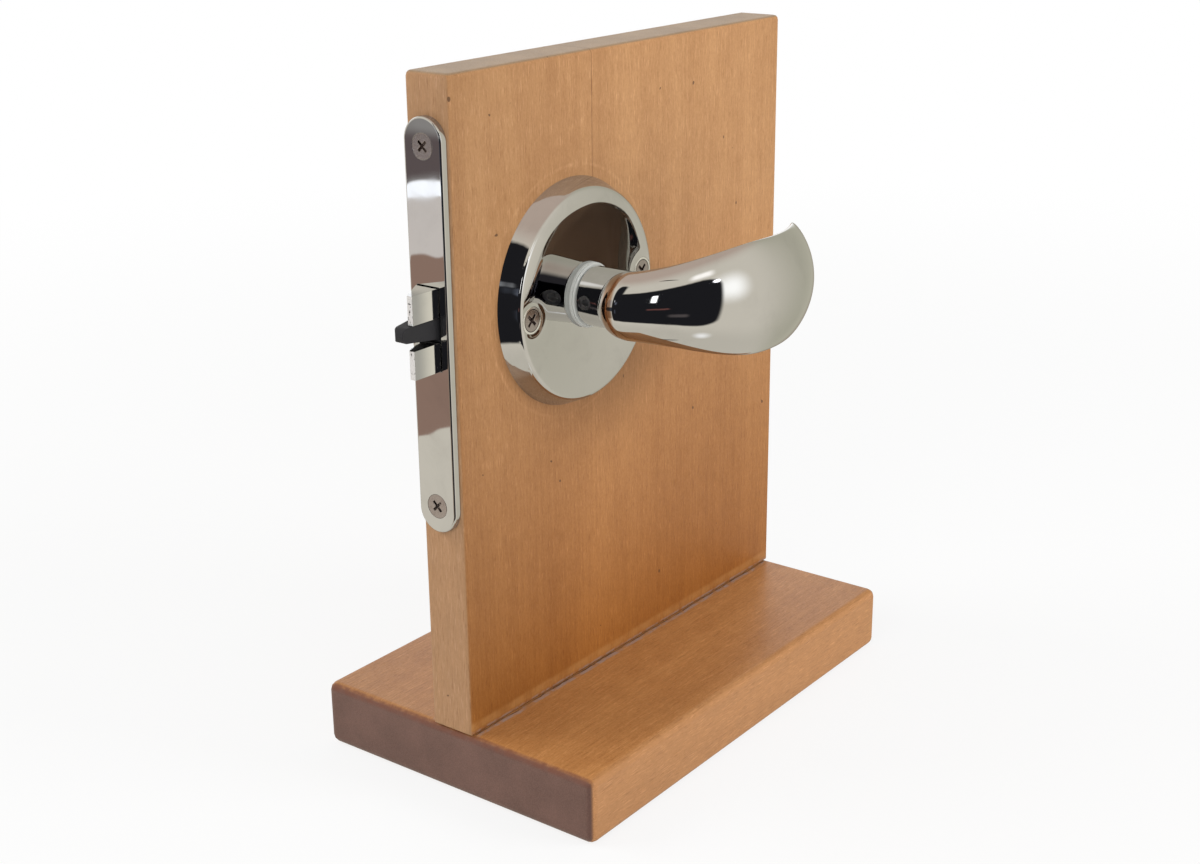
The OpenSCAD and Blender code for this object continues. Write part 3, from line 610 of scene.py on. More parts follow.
def add_bump(tree, shader, height, distance, strength):
    """Joins a height to the shader's normal."""
    bump = add_node(tree, "Bump", {"Height": height, "Distance": distance, "Strength": strength})
    feed(tree, shader["Normal"], bump.outputs[0])


def facing(tree, normal, axis):
    """A mask of the faces that look along an axis, one way or the other."""
    return remap(tree, arithmetic(tree, "ABSOLUTE", normal[axis]), 0.55, 0.85)


def plain_wood(name, turn, light, dark, side, end, end_axis, side_axis, sheen):
    """Oiled hardwood: long grain on the faces, other narrow sides and end grain, chosen by the normal.

    Painted shade in reflections: where metal mirrors it, it is tinted cooler, and much darker after a second
    mirroring, standing in for wood in the lever's shade.
    """
    wood = settings("wood")
    material, tree, shader, place = new_material(name)
    turned = add_node(tree, "Mapping", {"Vector": place["Object"], "Rotation": turn})
    shared = {
        "Vector": turned.outputs[0], "Band Width": 20 * MM, "Fleck Width": wood.fleck_width,
        "Fleck Length": wood.fleck_length, "Contrast": 1.35,
    }
    face = use_group(tree, "close_grain", build_grain, {**shared, "Light": light, "Dark": dark})
    sides = {"Light": [1.10 * part for part in side], "Dark": [0.84 * part for part in side]}
    narrow = use_group(tree, "close_grain", build_grain, {**shared, **sides})
    pores = {"Vector": place["Object"], "Colour": end, "Pore Width": wood.fleck_width}
    cut = use_group(tree, "end_grain", build_end_grain, pores)
    normal = split(tree, place["Normal"])
    colour = blend_colours(tree, facing(tree, normal, side_axis), face["Color"], narrow["Color"])
    colour = blend_colours(tree, facing(tree, normal, end_axis), colour, cut["Color"])
    feed(tree, shader["Roughness"], face["Roughness"])
    add_bump(tree, shader, face["Height"], 0.05 * MM, 0.45)
    shader["Specular IOR Level"].default_value = 0.3 + 1.4 * sheen
    shader["Coat Weight"].default_value = sheen
    shader["Coat Roughness"].default_value = 0.25
    # Painted shade, seen only in metal: the wood is tinted cooler, and much darker after a second mirroring
    path = add_node(tree, "LightPath").outputs
    deep = arithmetic(tree, "GREATER_THAN", path["Glossy Depth"], 1.5)
    tint = blend_colours(tree, deep, (0.82, 0.92, 1.20), (0.30, 0.35, 0.50))
    colour = blend_colours(tree, path["Is Glossy Ray"], colour, tinted(tree, colour, tint))
    return material, tree, shader, place, split(tree, place["Object"]), colour


def draw_line(tree, place, colour, value, line, *masks, tint=False):
    """A colour with one broken line drawn on it, in the line's own colour or, as a tint, multiplied by it."""
    where, half_width, softness, patch, evenness, shade = line
    inputs = {
        "Vector": place["Object"], "Value": value, "Place": where, "Half Width": half_width,
        "Softness": softness, "Patch Size": patch, "Evenness": evenness,
    }
    drawn = use_group(tree, "broken_line", build_line, inputs)["Mask"]
    return lay(tree, colour, tinted(tree, colour, shade) if tint else shade, drawn, *masks)


def panel_wood(name):
    """The upright board: upright grain, painted shade towards its latch edge and its foot, a joint line and a
    ring round the rose.
    """
    wood = settings("wood")
    material, tree, shader, place, axes, colour = plain_wood(
        name, (0, 0, 0), wood.panel_light, wood.panel_dark, wood.edge_colour, wood.panel_end, "Z", "X",
        PANEL_SHEEN,
    )
    on_face = facing(tree, split(tree, place["Normal"]), "Y")
    # Painted shade: the panel's face is darker towards its latch edge, as if less light reached it
    left = remap(tree, axes["X"], PANEL_LOW.x, PANEL_LOW.x + EDGE_PAINTED_SHADE, 0.84, 1.0)
    shaded = blend_colours(tree, on_face, (1, 1, 1), combine(tree, left, left, left))
    colour = tinted(tree, colour, shaded)
    # Painted shade: the panel's face is darker and redder towards its foot
    low = remap(tree, axes["Z"], *FOOT_PAINTED_SHADE, 1.0, 0.0, smooth=False)
    colour = lay(tree, colour, tinted(tree, colour, wood.painted_foot_shade), low, on_face)
    across = arithmetic(tree, "SUBTRACT", axes["X"], HUB_X)
    rise = arithmetic(tree, "SUBTRACT", axes["Z"], HUB_Z)
    reach = vector_sum(tree, "LENGTH", combine(tree, across, rise))
    colour = draw_line(tree, place, colour, reach, RING, on_face, tint=True)
    above = remap(tree, axes["Z"], *JOINT_CLEAR, 0.15, 0.85)
    colour = draw_line(tree, place, colour, axes["X"], JOINT, above, tint=True)
    colour = draw_line(tree, place, colour, axes["Z"], FOOT_BAND, on_face, 0.42)
    colour = draw_line(tree, place, colour, axes["Z"], FOOT_FILLER, on_face, 0.8)
    spots = remap(tree, noise(tree, place["Object"], 260.0, 1.0, 0.5), 0.80, 0.82)
    feed(tree, shader["Base Color"], lay(tree, colour, (0.09, 0.04, 0.02), spots, 0.8))
    return material


def base_wood(name):
    """The base board, its grain lengthwise, with a filled seam along the panel and darker end edges."""
    wood = settings("wood")
    material, tree, shader, place, axes, colour = plain_wood(
        name, (0, math.pi / 2, 0), wood.base_light, wood.base_dark, wood.side_colour, wood.base_end, "X", "Y",
        BASE_SHEEN,
    )
    waves = arithmetic(tree, "SUBTRACT", noise(tree, place["Object"], 90.0, 3.0, 0.6), 0.5)
    depth = arithmetic(tree, "ABSOLUTE", axes["Y"])
    depth = arithmetic(tree, "ADD", depth, product(tree, waves, SEAM_WAVES))
    on_top = remap(tree, axes["Z"], BASE_HIGH.z - 0.5 * MM, BASE_HIGH.z - 0.2 * MM)
    for line in (SEAM, GAP):
        colour = draw_line(tree, place, colour, depth, line, on_top)
    along = arithmetic(tree, "ABSOLUTE", axes["X"])
    by_top = remap(tree, axes["Z"], BASE_HIGH.z - 3.4 * MM, BASE_HIGH.z - 1.6 * MM)
    feed(tree, shader["Base Color"], draw_line(tree, place, colour, along, END_EDGE, by_top, 0.85))
    return material


def worn_finish(name, colour, other, clean, smudged, size):
    """A material that varies between two colours and two roughnesses, and its parts.

    They are its tree, its shader's inputs, its coordinates, the varying colour and the height of the pattern.
    """
    material, tree, shader, place = new_material(name)
    inputs = {"Vector": place["Object"], "Clean": clean, "Smudged": smudged, "Size": size}
    worn = use_group(tree, "uneven_polish", build_wear, inputs)
    shown = blend_colours(tree, worn["Mask"], colour, other)
    feed(tree, shader["Base Color"], shown)
    feed(tree, shader["Roughness"], worn["Roughness"])
    return material, tree, shader, place, shown, worn["Height"]


def plated(name):
    """Plated metal with uneven polish: the material and its tree, shader's inputs, coordinates and colour."""
    kind, clean, smudged, size, bump_height = METAL_FINISHES[name]
    colour = getattr(settings("metal"), kind)
    dull = [0.93 * part for part in colour]
    *parts, height = worn_finish(name, colour, dull, clean, smudged, size)
    tree, shader = parts[1:3]
    shader["Metallic"].default_value = 1.0
    if bump_height:
        add_bump(tree, shader, height, bump_height, 0.5)
    return parts


def metal_material(name):
    """A metal finish as METAL_FINISHES gives it."""
    return plated(name)[0]


def lever_chrome(name):
    """Polished chrome of the levers, with a painted brown reflection of the wood where the nose's rounding
    looks back at it.

    The upper half of the neck has a painted dark reflection, shown where other chrome mirrors it.
    """
    material, tree, shader, place, colour = plated(name)
    normal = split(tree, place["Normal"])
    axes = split(tree, place["Object"])
    back = product(tree, normal["Y"], arithmetic(tree, "SIGN", axes["Y"]), TOWARDS_WOOD[1])
    towards_wood = arithmetic(tree, "ADD", back, product(tree, normal["X"], TOWARDS_WOOD[0]))
    towards_wood = remap(tree, towards_wood, 0.20, 0.34)
    depth = arithmetic(tree, "ABSOLUTE", axes["Y"])
    edge = (NOSE_DEPTH - 1 * MM, NOSE_DEPTH + 1 * MM)
    near = remap(tree, axes["X"], HUB_X - 6 * MM, HUB_X + 14 * MM, 1.0, 0.0)
    # Painted reflection: brown wood laid on the nose's rounding where it looks back at the panel
    colour = lay(tree, colour, (0.40, 0.25, 0.16), remap(tree, depth, *edge), near, towards_wood)
    # Painted dark reflection on the neck's upper half, seen only in other chrome
    upper = remap(tree, normal["Z"], -0.2, -0.05)
    upper = product(tree, upper, remap(tree, normal["Z"], 0.6, 0.75, 1.0, 0.0))
    painted_dark_on_neck = product(tree, remap(tree, depth, *edge, 1.0, 0.0), upper)
    glossy = add_node(tree, "LightPath").outputs["Is Glossy Ray"]
    feed(tree, shader["Base Color"], lay(tree, colour, (0.03, 0.03, 0.04), painted_dark_on_neck, glossy))
    return material


def bolt_chrome(name):
    """Chrome of the bolt, its nose worn pale with dark nicks, with painted shade that darkens it towards the
    nose and lightens it further back.
    """
    material, tree, shader, place, colour = plated(name)
    axes = split(tree, place["Object"])
    ahead = remap(tree, axes["X"], BOLT_LOW.x + 3 * MM, BOLT_LOW.x + 1 * MM)
    nose = product(tree, remap(tree, split(tree, place["Normal"])["X"], -0.6, -0.85), ahead)
    nicks = remap(tree, noise(tree, place["Object"], 700.0, 3.0, 0.6), 0.56, 0.64)
    worn = blend_colours(tree, nicks, (0.80, 0.80, 0.78), (0.06, 0.06, 0.06))
    # Painted shade: the chrome is darker and cooler by the nose and brighter from 9 mm back
    across = remap(tree, axes["X"], BOLT_LOW.x + 1 * MM, BOLT_LOW.x + 9 * MM)
    shaded = blend_colours(tree, across, (0.78, 0.80, 0.84), (1.35, 1.35, 1.35))
    feed(tree, shader["Base Color"], lay(tree, tinted(tree, colour, shaded), worn, nose))
    feed(tree, shader["Metallic"], remap(tree, nose, 0.0, 1.0, 1.0, 0.25))
    return material


def level_from(tree, place, x, z):
    """The level offset of the shaded point from a place on the rose's face, and its length."""
    offset = vector_sum(tree, "SUBTRACT", place["Object"], (x, 0, z))
    level = vector_sum(tree, "MULTIPLY", offset, (1, 0, 1))
    return level, vector_sum(tree, "LENGTH", level)


def rose_chrome(name):
    """Polished chrome of the pressed roses, whose flat face is a shallow dish with a dimple at each screw."""
    material, tree, shader, place = plated(name)[:4]
    level, reach = level_from(tree, place, HUB_X, HUB_Z)
    dish = -settings("metal").rose_dish
    inwards = product(tree, remap(tree, reach, 0.0, DISH_END, smooth=False), dish)
    inwards = product(tree, inwards, remap(tree, reach, *DISH_EASE, 1.0, 0.6))
    offsets = split(tree, level)
    upper = remap(tree, offsets["Z"], 0.0, 16 * MM)
    upper = product(tree, upper, remap(tree, offsets["X"], -8 * MM, 26 * MM, 1.0, 0.15))
    outwards = product(tree, remap(tree, reach, *RIM, 0.0, RIM_SLOPE), upper)

    def tilt(level, slope):
        """A push of the normal along a level offset, by a slope."""
        return vector_sum(tree, "SCALE", vector_sum(tree, "NORMALIZE", level), scale=slope)

    bent = tilt(level, arithmetic(tree, "ADD", inwards, outwards))
    for x, z in ROSE_SCREWS:
        level, reach = level_from(tree, place, x, z)
        pull = tilt(level, product(tree, remap(tree, reach, *DIMPLE, 1.0, 0.0), DIMPLE_SLOPE))
        bent = vector_sum(tree, "ADD", bent, pull)
    flat = remap(tree, arithmetic(tree, "ABSOLUTE", split(tree, place["Normal"])["Y"]), 0.97, 0.995)
    normal = add_node(tree, "NewGeometry").outputs["Normal"]
    turned = vector_sum(tree, "ADD", normal, vector_sum(tree, "SCALE", bent, scale=flat))
    feed(tree, shader["Normal"], vector_sum(tree, "NORMALIZE", turned))
    return material


def sunk_screw_nickel(name):
    """Nickel plate of the rose's screws, with a painted highlight on each countersink's rim and painted shade
    in the groove inside it.
    """
    material, tree, shader, place, colour = plated(name)
    for x, z in ROSE_SCREWS:
        reach = level_from(tree, place, x, z)[1]
        # Painted highlight and painted shade, as bands round each screw
        for start, end, shade in COUNTERSINK_PAINTED_LIGHT:
            colour = lay(tree, colour, shade, remap(tree, reach, *start), remap(tree, reach, *end, 1.0, 0.0))
    feed(tree, shader["Base Color"], colour)
    return material


def nylon_material(name):
    """Moulded nylon with a fine satin texture."""
    kind, roughness, mottle = NYLON_FINISHES[name]
    colour = getattr(settings("nylon"), kind)
    pale = [min(1.0, mottle * part) for part in colour]
    material, tree, shader, place = worn_finish(name, colour, pale, roughness, roughness + 0.18, 3 * MM)[:4]
    shader["Specular IOR Level"].default_value = 0.3
    add_bump(tree, shader, noise(tree, place["Object"], 4000.0, 2.0), 0.02 * MM, 0.4)
    return material


def material_once(name, build):
    """The material of that name, built the first time that it is asked for."""
    return bpy.data.materials.get(name) or build(name)


def coat(mesh, material):
    """Gives a mesh one material all over."""
    mesh.materials.clear()
    mesh.materials.append(material)


def add_object(name, data):
    """Puts an object with its data into the scene."""
    made = bpy.data.objects.new(name, data)
    bpy.context.scene.collection.objects.link(made)
    return made


def place_piece(mesh, node, material):
    """Puts a finished mesh on the body of the node that it stands for."""
    piece = add_object(node + "_finished", mesh)
    coat(mesh, material)
    body = frame["nodes"][node]["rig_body"]
    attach(piece, body)
    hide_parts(node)
    return piece


def shade_smooth(mesh):
    """Makes all of a mesh's faces smooth in the light."""
    mesh.polygons.foreach_set("use_smooth", np.ones(len(mesh.polygons), bool))


def merged_copy(node):
    """A copy of a node's mesh with its loose triangles merged and its flat faces joined."""
    mesh = frame["nodes"][node].data.copy()
    work = bmesh.new()
    work.from_mesh(mesh)
    bmesh.ops.remove_doubles(work, verts=work.verts, dist=NODE_MERGE)
    bmesh.ops.dissolve_limit(
        work, angle_limit=FLAT_ANGLE, use_dissolve_boundaries=False, verts=work.verts, edges=work.edges
    )
    work.to_mesh(mesh)
    work.free()
    shade_smooth(mesh)
    return mesh


def keep_flat(piece):
    """Keeps a piece's large flat faces flat in the light."""
    even = piece.modifiers.new("flat_faces", "WEIGHTED_NORMAL")
    even.mode = "FACE_AREA"
    even.keep_sharp = True


def finished_copy(node, material, edge):
    """A copy of a node that stands for it, with its sharp edges rounded a little."""
    piece = place_piece(merged_copy(node), node, material)
    bevel = piece.modifiers.new("soft_edges", "BEVEL")
    bevel.width = edge
    bevel.segments = 3
    bevel.limit_method = "ANGLE"
    bevel.angle_limit = SHARP_ANGLE
    bevel.harden_normals = True
    bevel.miter_outer = "MITER_ARC"
    keep_flat(piece)


def draw_in(mesh, low, high, radius):
    """Rounds the outer edges and corners of a board-shaped mesh.

    A point p has its nearest point q in the board's box less the radius all round, and where p lies further
    than the radius from q it becomes q + radius (p - q) / |p - q|.  Cuts at the smaller box's sides keep the
    flat faces flat.
    """
    inner_low = low + radius
    inner_high = high - radius
    work = bmesh.new()
    work.from_mesh(mesh)
    for across, *levels in zip(np.eye(3), inner_low, inner_high):
        for level in levels:
            everything = [*work.verts, *work.edges, *work.faces]
            bmesh.ops.bisect_plane(work, geom=everything, dist=TINY, plane_co=across * level, plane_no=across)
    work.to_mesh(mesh)
    work.free()
    points = mesh_points(mesh)
    nearest = np.clip(points, inner_low, inner_high)
    away = points - nearest
    length = np.linalg.norm(away, axis=1, keepdims=True)
    share = np.where(length > radius, radius / np.maximum(length, TINY), 1)
    mesh.vertices.foreach_set("co", (nearest + away * share).ravel())
    mesh.update()


def rounded_board(node, material, radius, foot=0.0):
    """A copy of a board with its outer edges rounded, save at its foot where the shape goes on below."""
    piece = place_piece(merged_copy(node), node, material)
    low, high = (np.array(corner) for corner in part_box(node))
    low[2] -= foot
    draw_in(piece.data, low, high, radius)
    piece.data.set_sharp_from_angle(angle=SHARP_ANGLE)
    keep_flat(piece)


def spring_copy(node, material):
    """A copy of a coil spring, coated, that takes the place of its node and stays where it is."""
    piece = add_object(node + "_finished", merged_copy(node))
    coat(piece.data, material)
    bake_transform(piece)
    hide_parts(node)


def skin_mesh(name, rings, caps):
    """A skin through rings of points, an array of rings by sides by 3, capped by a fan at each named end.

    A quad joins point k and point k + 1 of a ring to the same two points of the next ring, counted round.
    """
    count, sides = rings.shape[:2]
    points = rings.reshape(-1, 3)
    side = np.arange(sides)
    after = (side + 1) % sides
    ring = np.arange(count - 1)[:, None] * sides
    quads = np.stack([ring + side, ring + after, ring + sides + after, ring + sides + side], -1)
    faces = quads.reshape(-1, 4).tolist()
    for end in caps:
        row = 0 if end == "first" else count - 1
        pole = np.full(sides, len(points))
        edge = (row * sides + after, row * sides + side)
        fan = (pole, *(edge if end == "first" else edge[::-1]))
        faces += np.stack(fan, -1).tolist()
        points = np.vstack([points, rings[row].mean(0)])
    mesh = bpy.data.meshes.new(name)
    mesh.from_pydata(points.tolist(), [], faces)
    shade_smooth(mesh)
    mesh.validate()
    return mesh


def face_outwards(mesh):
    """Turns a closed mesh's faces outwards."""
    work = bmesh.new()
    work.from_mesh(mesh)
    bmesh.ops.remove_doubles(work, verts=work.verts, dist=SKIN_MERGE)
    bmesh.ops.recalc_face_normals(work, faces=work.faces)
    work.to_mesh(mesh)
    work.free()


def smooth_step(value):
    """Eases from 0 to 1: 3 t squared less 2 t cubed, with t held between 0 and 1."""
    held = np.clip(value, 0, 1)
    return held * held * (3 - 2 * held)


def rounding(distance, radius, power=2.0):
    """Height of a rounded end, as a part of its full height, at a distance from the end.

    It is the square root of 1 less the power of what is left of the radius: a quarter circle for a power
    of 2, and a blunter end for a higher one.
    """
    return np.sqrt(1 - (1 - np.clip(distance / radius, 0, 1)) ** power)


def sweep_middles(lever):
    """The centres of the tip arc and of the nose arc as (x, y), in metres."""
    tip = np.array([HUB_X + lever.centre, NECK_START - lever.neck_length + lever.setback])
    step = lever.nose_sweep - lever.sweep
    return tip, tip + step * np.array([math.sin(lever.join_angle), math.cos(lever.join_angle)])


def grip_rings(lever, rings=170, sides=112):
    """The grip's skin: s runs along two arcs seen from above, a goes round a bent ellipse.

    Half height and body are the ellipse's half axes, which widen and thin from nose to tip and close in a
    blunt rounding at the tip and a rounder one at the nose.  The crown lifts its middle outwards by the
    square of cos a.  A point lies at sweep + crown cos^2 a + body cos a from its arc's centre and at half
    height sin a above the lever's axis.
    """
    tip_middle, nose_middle = sweep_middles(lever)
    nose_length = lever.nose_sweep * (lever.nose_angle - lever.join_angle)
    length = nose_length + lever.sweep * (lever.join_angle - lever.tip_angle)
    share = (1 - np.cos(np.pi * np.arange(1, rings) / rings)) / 2
    s = (length * share)[:, None]
    a = (2 * np.pi * np.arange(sides) / sides)[None, :]
    tip = rounding(length - s, TIP_ROUND, TIP_BLUNTNESS)
    widen = smooth_step((s - WIDEN_START) / WIDEN_LENGTH)
    thinning = smooth_step(s / THIN_LENGTH)
    half_height = lever.nose_height / 2 + (lever.height - lever.nose_height) / 2 * widen
    half_height = half_height * rounding(s, NOSE_ROUND) * tip
    crown = (NOSE_CROWN + (lever.crown - NOSE_CROWN) * widen) * tip
    body = lever.nose_thickness / 2 + (lever.thickness - lever.nose_thickness) / 2 * thinning
    body = body * rounding(s, NOSE_EDGE) * tip
    by_nose = s < nose_length
    after_join = lever.join_angle - (s - nose_length) / lever.sweep
    angle = np.where(by_nose, lever.nose_angle - s / lever.nose_sweep, after_join)
    middle = np.where(by_nose[..., None], nose_middle, tip_middle)
    radius = np.where(by_nose, lever.nose_sweep, lever.sweep) + crown * np.cos(a) ** 2 + body * np.cos(a)
    x = middle[..., 0] - radius * np.sin(angle)
    y = middle[..., 1] - radius * np.cos(angle)
    return np.stack([x, y, HUB_Z + half_height * np.sin(a) + 0 * x], -1)


def neck_rings(lever, along=44, ends=34):
    """The neck's skin, rolled out as turn by y: rings from the set screw's hole to the sheet's edges.

    A point at share t of ring p is (1 - t) of the hole's circle and t of the sheet's edge, and x and z follow
    from the turn as radius cos and radius sin, so every point lies on the cylinder.  The sheet's front edge
    is where the cylinder meets an arc just in front of the grip's nose sweep, inside the grip.
    """
    radius = lever.neck_radius
    nose_middle = sweep_middles(lever)[1]
    cut = lever.nose_sweep + NECK_INSET
    turn = np.linspace(-np.pi, np.pi, NECK_SIDES + 1)
    away = HUB_X - radius * np.cos(turn) - nose_middle[0]
    front = nose_middle[1] - np.sqrt(cut**2 - away**2)
    rise = np.linspace(0, 1, ends + 1)
    back = NECK_START - COLLAR_LIP + 0 * turn
    side = back[0] + (front[0] - back[0]) * rise
    edge = np.concatenate(
        [
            np.stack([turn, back], -1)[:-1],
            np.stack([np.pi + 0 * side, side], -1)[:-1],
            np.stack([turn, front], -1)[::-1][:-1],
            np.stack([-np.pi + 0 * side, side], -1)[::-1][:-1],
        ]
    )
    hole = (GRUB_HIGH.z - GRUB_LOW.z) / 2 + PIT_GAP
    grub_y = (GRUB_LOW.y + GRUB_HIGH.y) / 2
    bearing = np.arctan2((edge[:, 1] - grub_y) / radius, edge[:, 0])
    circle_z = hole * np.cos(bearing)
    circle = np.stack([np.arcsin(circle_z / radius), grub_y + hole * np.sin(bearing)], -1)
    t = (np.linspace(0, 1, along + 1) ** 1.6)[:, None, None]
    sheet = (1 - t) * circle + t * edge
    x = HUB_X - radius * np.cos(sheet[..., 0])
    z = HUB_Z + radius * np.sin(sheet[..., 0])
    return np.stack([x, sheet[..., 1], z], -1)


def turned_rings(profile, sides):
    """A profile of (radius, y) rows turned about the lever's axis: radius cos a and radius sin a from it."""
    a = (2 * np.pi * np.arange(sides) / sides)[None, :]
    radius = profile[:, 0][:, None]
    y = profile[:, 1][:, None] + 0 * a
    return np.stack([HUB_X + radius * np.cos(a), y, HUB_Z + radius * np.sin(a)], -1)


def join_meshes(name, meshes):
    """One mesh from several."""
    work = bmesh.new()
    for mesh in meshes:
        work.from_mesh(mesh)
    joined = bpy.data.meshes.new(name)
    work.to_mesh(joined)
    work.free()
    shade_smooth(joined)
    return joined


def neck_mesh(lever):
    """The closed neck: its skin round the set screw's pit, its inner end, its lip and the journal."""
    skin = neck_rings(lever)
    pit = skin[0].copy()
    pit[:, 0] = HUB_X - lever.neck_radius + PIT_DEPTH
    rolled = skin_mesh("neck_skin", np.concatenate([pit[None], skin]), ("first",))
    corners = (len(skin[0]) - 2 * NECK_SIDES) // 2
    front = skin[-1, NECK_SIDES + corners : 2 * NECK_SIDES + corners]
    middle = front.mean(0)
    inner_end = skin_mesh("neck_end", np.stack([front, (front + middle) / 2]), ("last",))
    quarter = np.radians(np.arange(0, 91, 15))
    lip_radius = lever.neck_radius - COLLAR_LIP + COLLAR_LIP * np.cos(quarter)
    lip = np.stack([lip_radius, NECK_START - COLLAR_LIP + COLLAR_LIP * np.sin(quarter)], -1)
    journal = np.array([(lever.journal_radius, NECK_START), (lever.journal_radius, JOURNAL_END)])
    collar = skin_mesh("neck_collar", turned_rings(np.vstack([lip, journal]), NECK_SIDES), ("last",))
    neck = join_meshes("neck", [rolled, inner_end, collar])
    face_outwards(neck)
    return neck


class LATCH_OT_boards(bpy.types.Operator):
    """Base board and upright panel of oiled hardwood"""

    bl_idname = "latch.boards"
    bl_label = "Wooden boards"

    def execute(self, context):
        rounded_board("stand_base", material_once("base_wood", base_wood), BASE_RADIUS)
        rounded_board("stand_panel", material_once("panel_wood", panel_wood), PANEL_RADIUS, PANEL_FOOT)
        return {"FINISHED"}


class LATCH_OT_levers(bpy.types.Operator):
    """Both levers, each a scooped grip on a round neck"""

    bl_idname = "latch.levers"
    bl_label = "Levers"

    def execute(self, context):
        lever = settings("lever")
        chrome = material_once("lever_chrome", lever_chrome)
        grip = skin_mesh("grip", grip_rings(lever), ("first", "last"))
        face_outwards(grip)
        front = join_meshes("front_lever_finished", [grip, neck_mesh(lever)])
        front.set_sharp_from_angle(angle=LEVER_SHARP_ANGLE)
        rear = front.copy()
        rear.name = "rear_lever_finished"
        rear.transform(Matrix.Diagonal((1, -1, 1, 1)))
        rear.flip_normals()
        place_piece(front, "front_lever", chrome)
        place_piece(rear, "rear_lever", chrome)
        return {"FINISHED"}


class LATCH_OT_roses(bpy.types.Operator):
    """Both round roses and their bushes"""

    bl_idname = "latch.roses"
    bl_label = "Roses and bushes"

    def execute(self, context):
        chrome = material_once("rose_chrome", rose_chrome)
        pale = material_once("pale_nylon", nylon_material)
        for side in ("front", "rear"):
            finished_copy(side + "_rose", chrome, settings("metal").edge_radius)
            finished_copy(side + "_bush", pale, BUSH_EDGE)
        return {"FINISHED"}


class LATCH_OT_face_plate(bpy.types.Operator):
    """Face plate on the panel's edge"""

    bl_idname = "latch.face_plate"
    bl_label = "Face plate"

    def execute(self, context):
        chrome = material_once("polished_chrome", metal_material)
        finished_copy("face_plate", chrome, settings("metal").edge_radius)
        return {"FINISHED"}


class LATCH_OT_bolt(bpy.types.Operator):
    """Two-pronged bolt and its black tongue"""

    bl_idname = "latch.bolt"
    bl_label = "Bolt and tongue"

    def execute(self, context):
        finished_copy("bolt_head", material_once("bolt_chrome", bolt_chrome), BOLT_EDGE)
        finished_copy("tongue", material_once("black_nylon", nylon_material), BOLT_EDGE)
        return {"FINISHED"}


class LATCH_OT_screws(bpy.types.Operator):
    """Screws of the plate and roses and the levers' set screws"""

    bl_idname = "latch.screws"
    bl_label = "Screws"

    def execute(self, context):
        nickel = material_once("nickel_screws", metal_material)
        finished_copy("plate_screws", nickel, SCREW_EDGE)
        finished_copy("sleeve_nuts", nickel, SCREW_EDGE)
        sunk = material_once("rose_screw_nickel", sunk_screw_nickel)
        finished_copy("rose_screws", sunk, SCREW_EDGE)
        steel = material_once("zinc_plate", metal_material)
        for node in ("front_grub_screw", "rear_grub_screw", "stand_screws"):
            finished_copy(node, steel, SMALL_SCREW_EDGE)
        return {"FINISHED"}


class LATCH_OT_inner_parts(bpy.types.Operator):
    """Finishes of the case, follower, tail and springs inside the panel"""

    bl_idname = "latch.inner_parts"
    bl_label = "Inner parts"

    def execute(self, context):
        steel = material_once("zinc_plate", metal_material)
        wire = material_once("spring_wire", metal_material)
        for node, low_body, high_body in SPRINGS:
            spring_copy(node, wire)
        for node in PLAIN_STEEL:
            coat(frame["nodes"][node].data, steel)
        return {"FINISHED"}


class LATCH_OT_stage(bpy.types.Operator):
    """Pale floor, soft light and the camera"""

    bl_idname = "latch.stage"
    bl_label = "Stage"

    def execute(self, context):
        make_camera()
        make_floor()
        make_lamps()
        make_world()
        context.scene.view_settings.view_transform = "Standard"
        return {"FINISHED"}


def make_camera():
    """The camera, turned by its azimuth and elevation about the object and its own roll."""
    azimuth, elevation, roll = (math.radians(a) for a in (CAMERA_AZIMUTH, CAMERA_ELEVATION, CAMERA_ROLL))
    reach = math.cos(elevation)
    back = Vector((math.sin(azimuth) * reach, -math.cos(azimuth) * reach, math.sin(elevation)))
    level = Vector((0, 0, 1)).cross(back).normalized()
    upright = back.cross(level)
    right = level * math.cos(roll) + upright * math.sin(roll)
    up = upright * math.cos(roll) - level * math.sin(roll)
    camera = add_object("camera", bpy.data.cameras.new("camera"))
    camera.matrix_world = Matrix.Translation(CAMERA_PLACE) @ Matrix((right, up, back)).transposed().to_4x4()
    camera.data.lens = CAMERA_LENS
    camera.data.sensor_width = CAMERA_PICTURE
    camera.data.clip_start = 0.01
    camera.data.clip_end = 50
    bpy.context.scene.camera = camera


def mirrored_ray(tree, path):
    """A mask of the rays that metal and glass send out."""
    return arithmetic(tree, "MAXIMUM", path["Is Glossy Ray"], path["Is Transmission Ray"])


def mix_shaders(tree, share, first, second):
    """One shader laid over another by a share."""
    return add_node(tree, "MixShader", {0: share, 1: first, 2: second}).outputs[0]


def make_floor():
    """A plain pale floor that keeps the object's shadow; metal sees the studio through it."""
    mesh = bpy.data.meshes.new("floor")
    corners = ((-1, -1), (1, -1), (1, 1), (-1, 1))
    mesh.from_pydata([(FLOOR_HALF * x, FLOOR_HALF * y, FLOOR_LEVEL) for x, y in corners], [], [(0, 1, 2, 3)])
    floor = add_object("floor", mesh)
    material = bpy.data.materials.new("floor")
    material.use_nodes = True
    tree = material.node_tree
    tree.nodes.clear()
    diffuse = add_node(tree, "BsdfDiffuse", {"Color": settings("stage").floor_colour}).outputs[0]
    white = add_node(tree, "Emission", {"Color": (1, 1, 1), "Strength": 1.0}).outputs[0]
    clear = add_node(tree, "BsdfTransparent").outputs[0]
    path = add_node(tree, "LightPath").outputs
    away = vector_sum(tree, "LENGTH", add_node(tree, "TexCoord").outputs["Object"])
    lifted = product(tree, path["Is Camera Ray"], remap(tree, away, 0.25, 1.1, 0.82, 1.0))
    seen = mix_shaders(tree, lifted, diffuse, white)
    shown = mix_shaders(tree, mirrored_ray(tree, path), seen, clear)
    add_node(tree, "OutputMaterial", {"Surface": shown})
    mesh.materials.append(material)


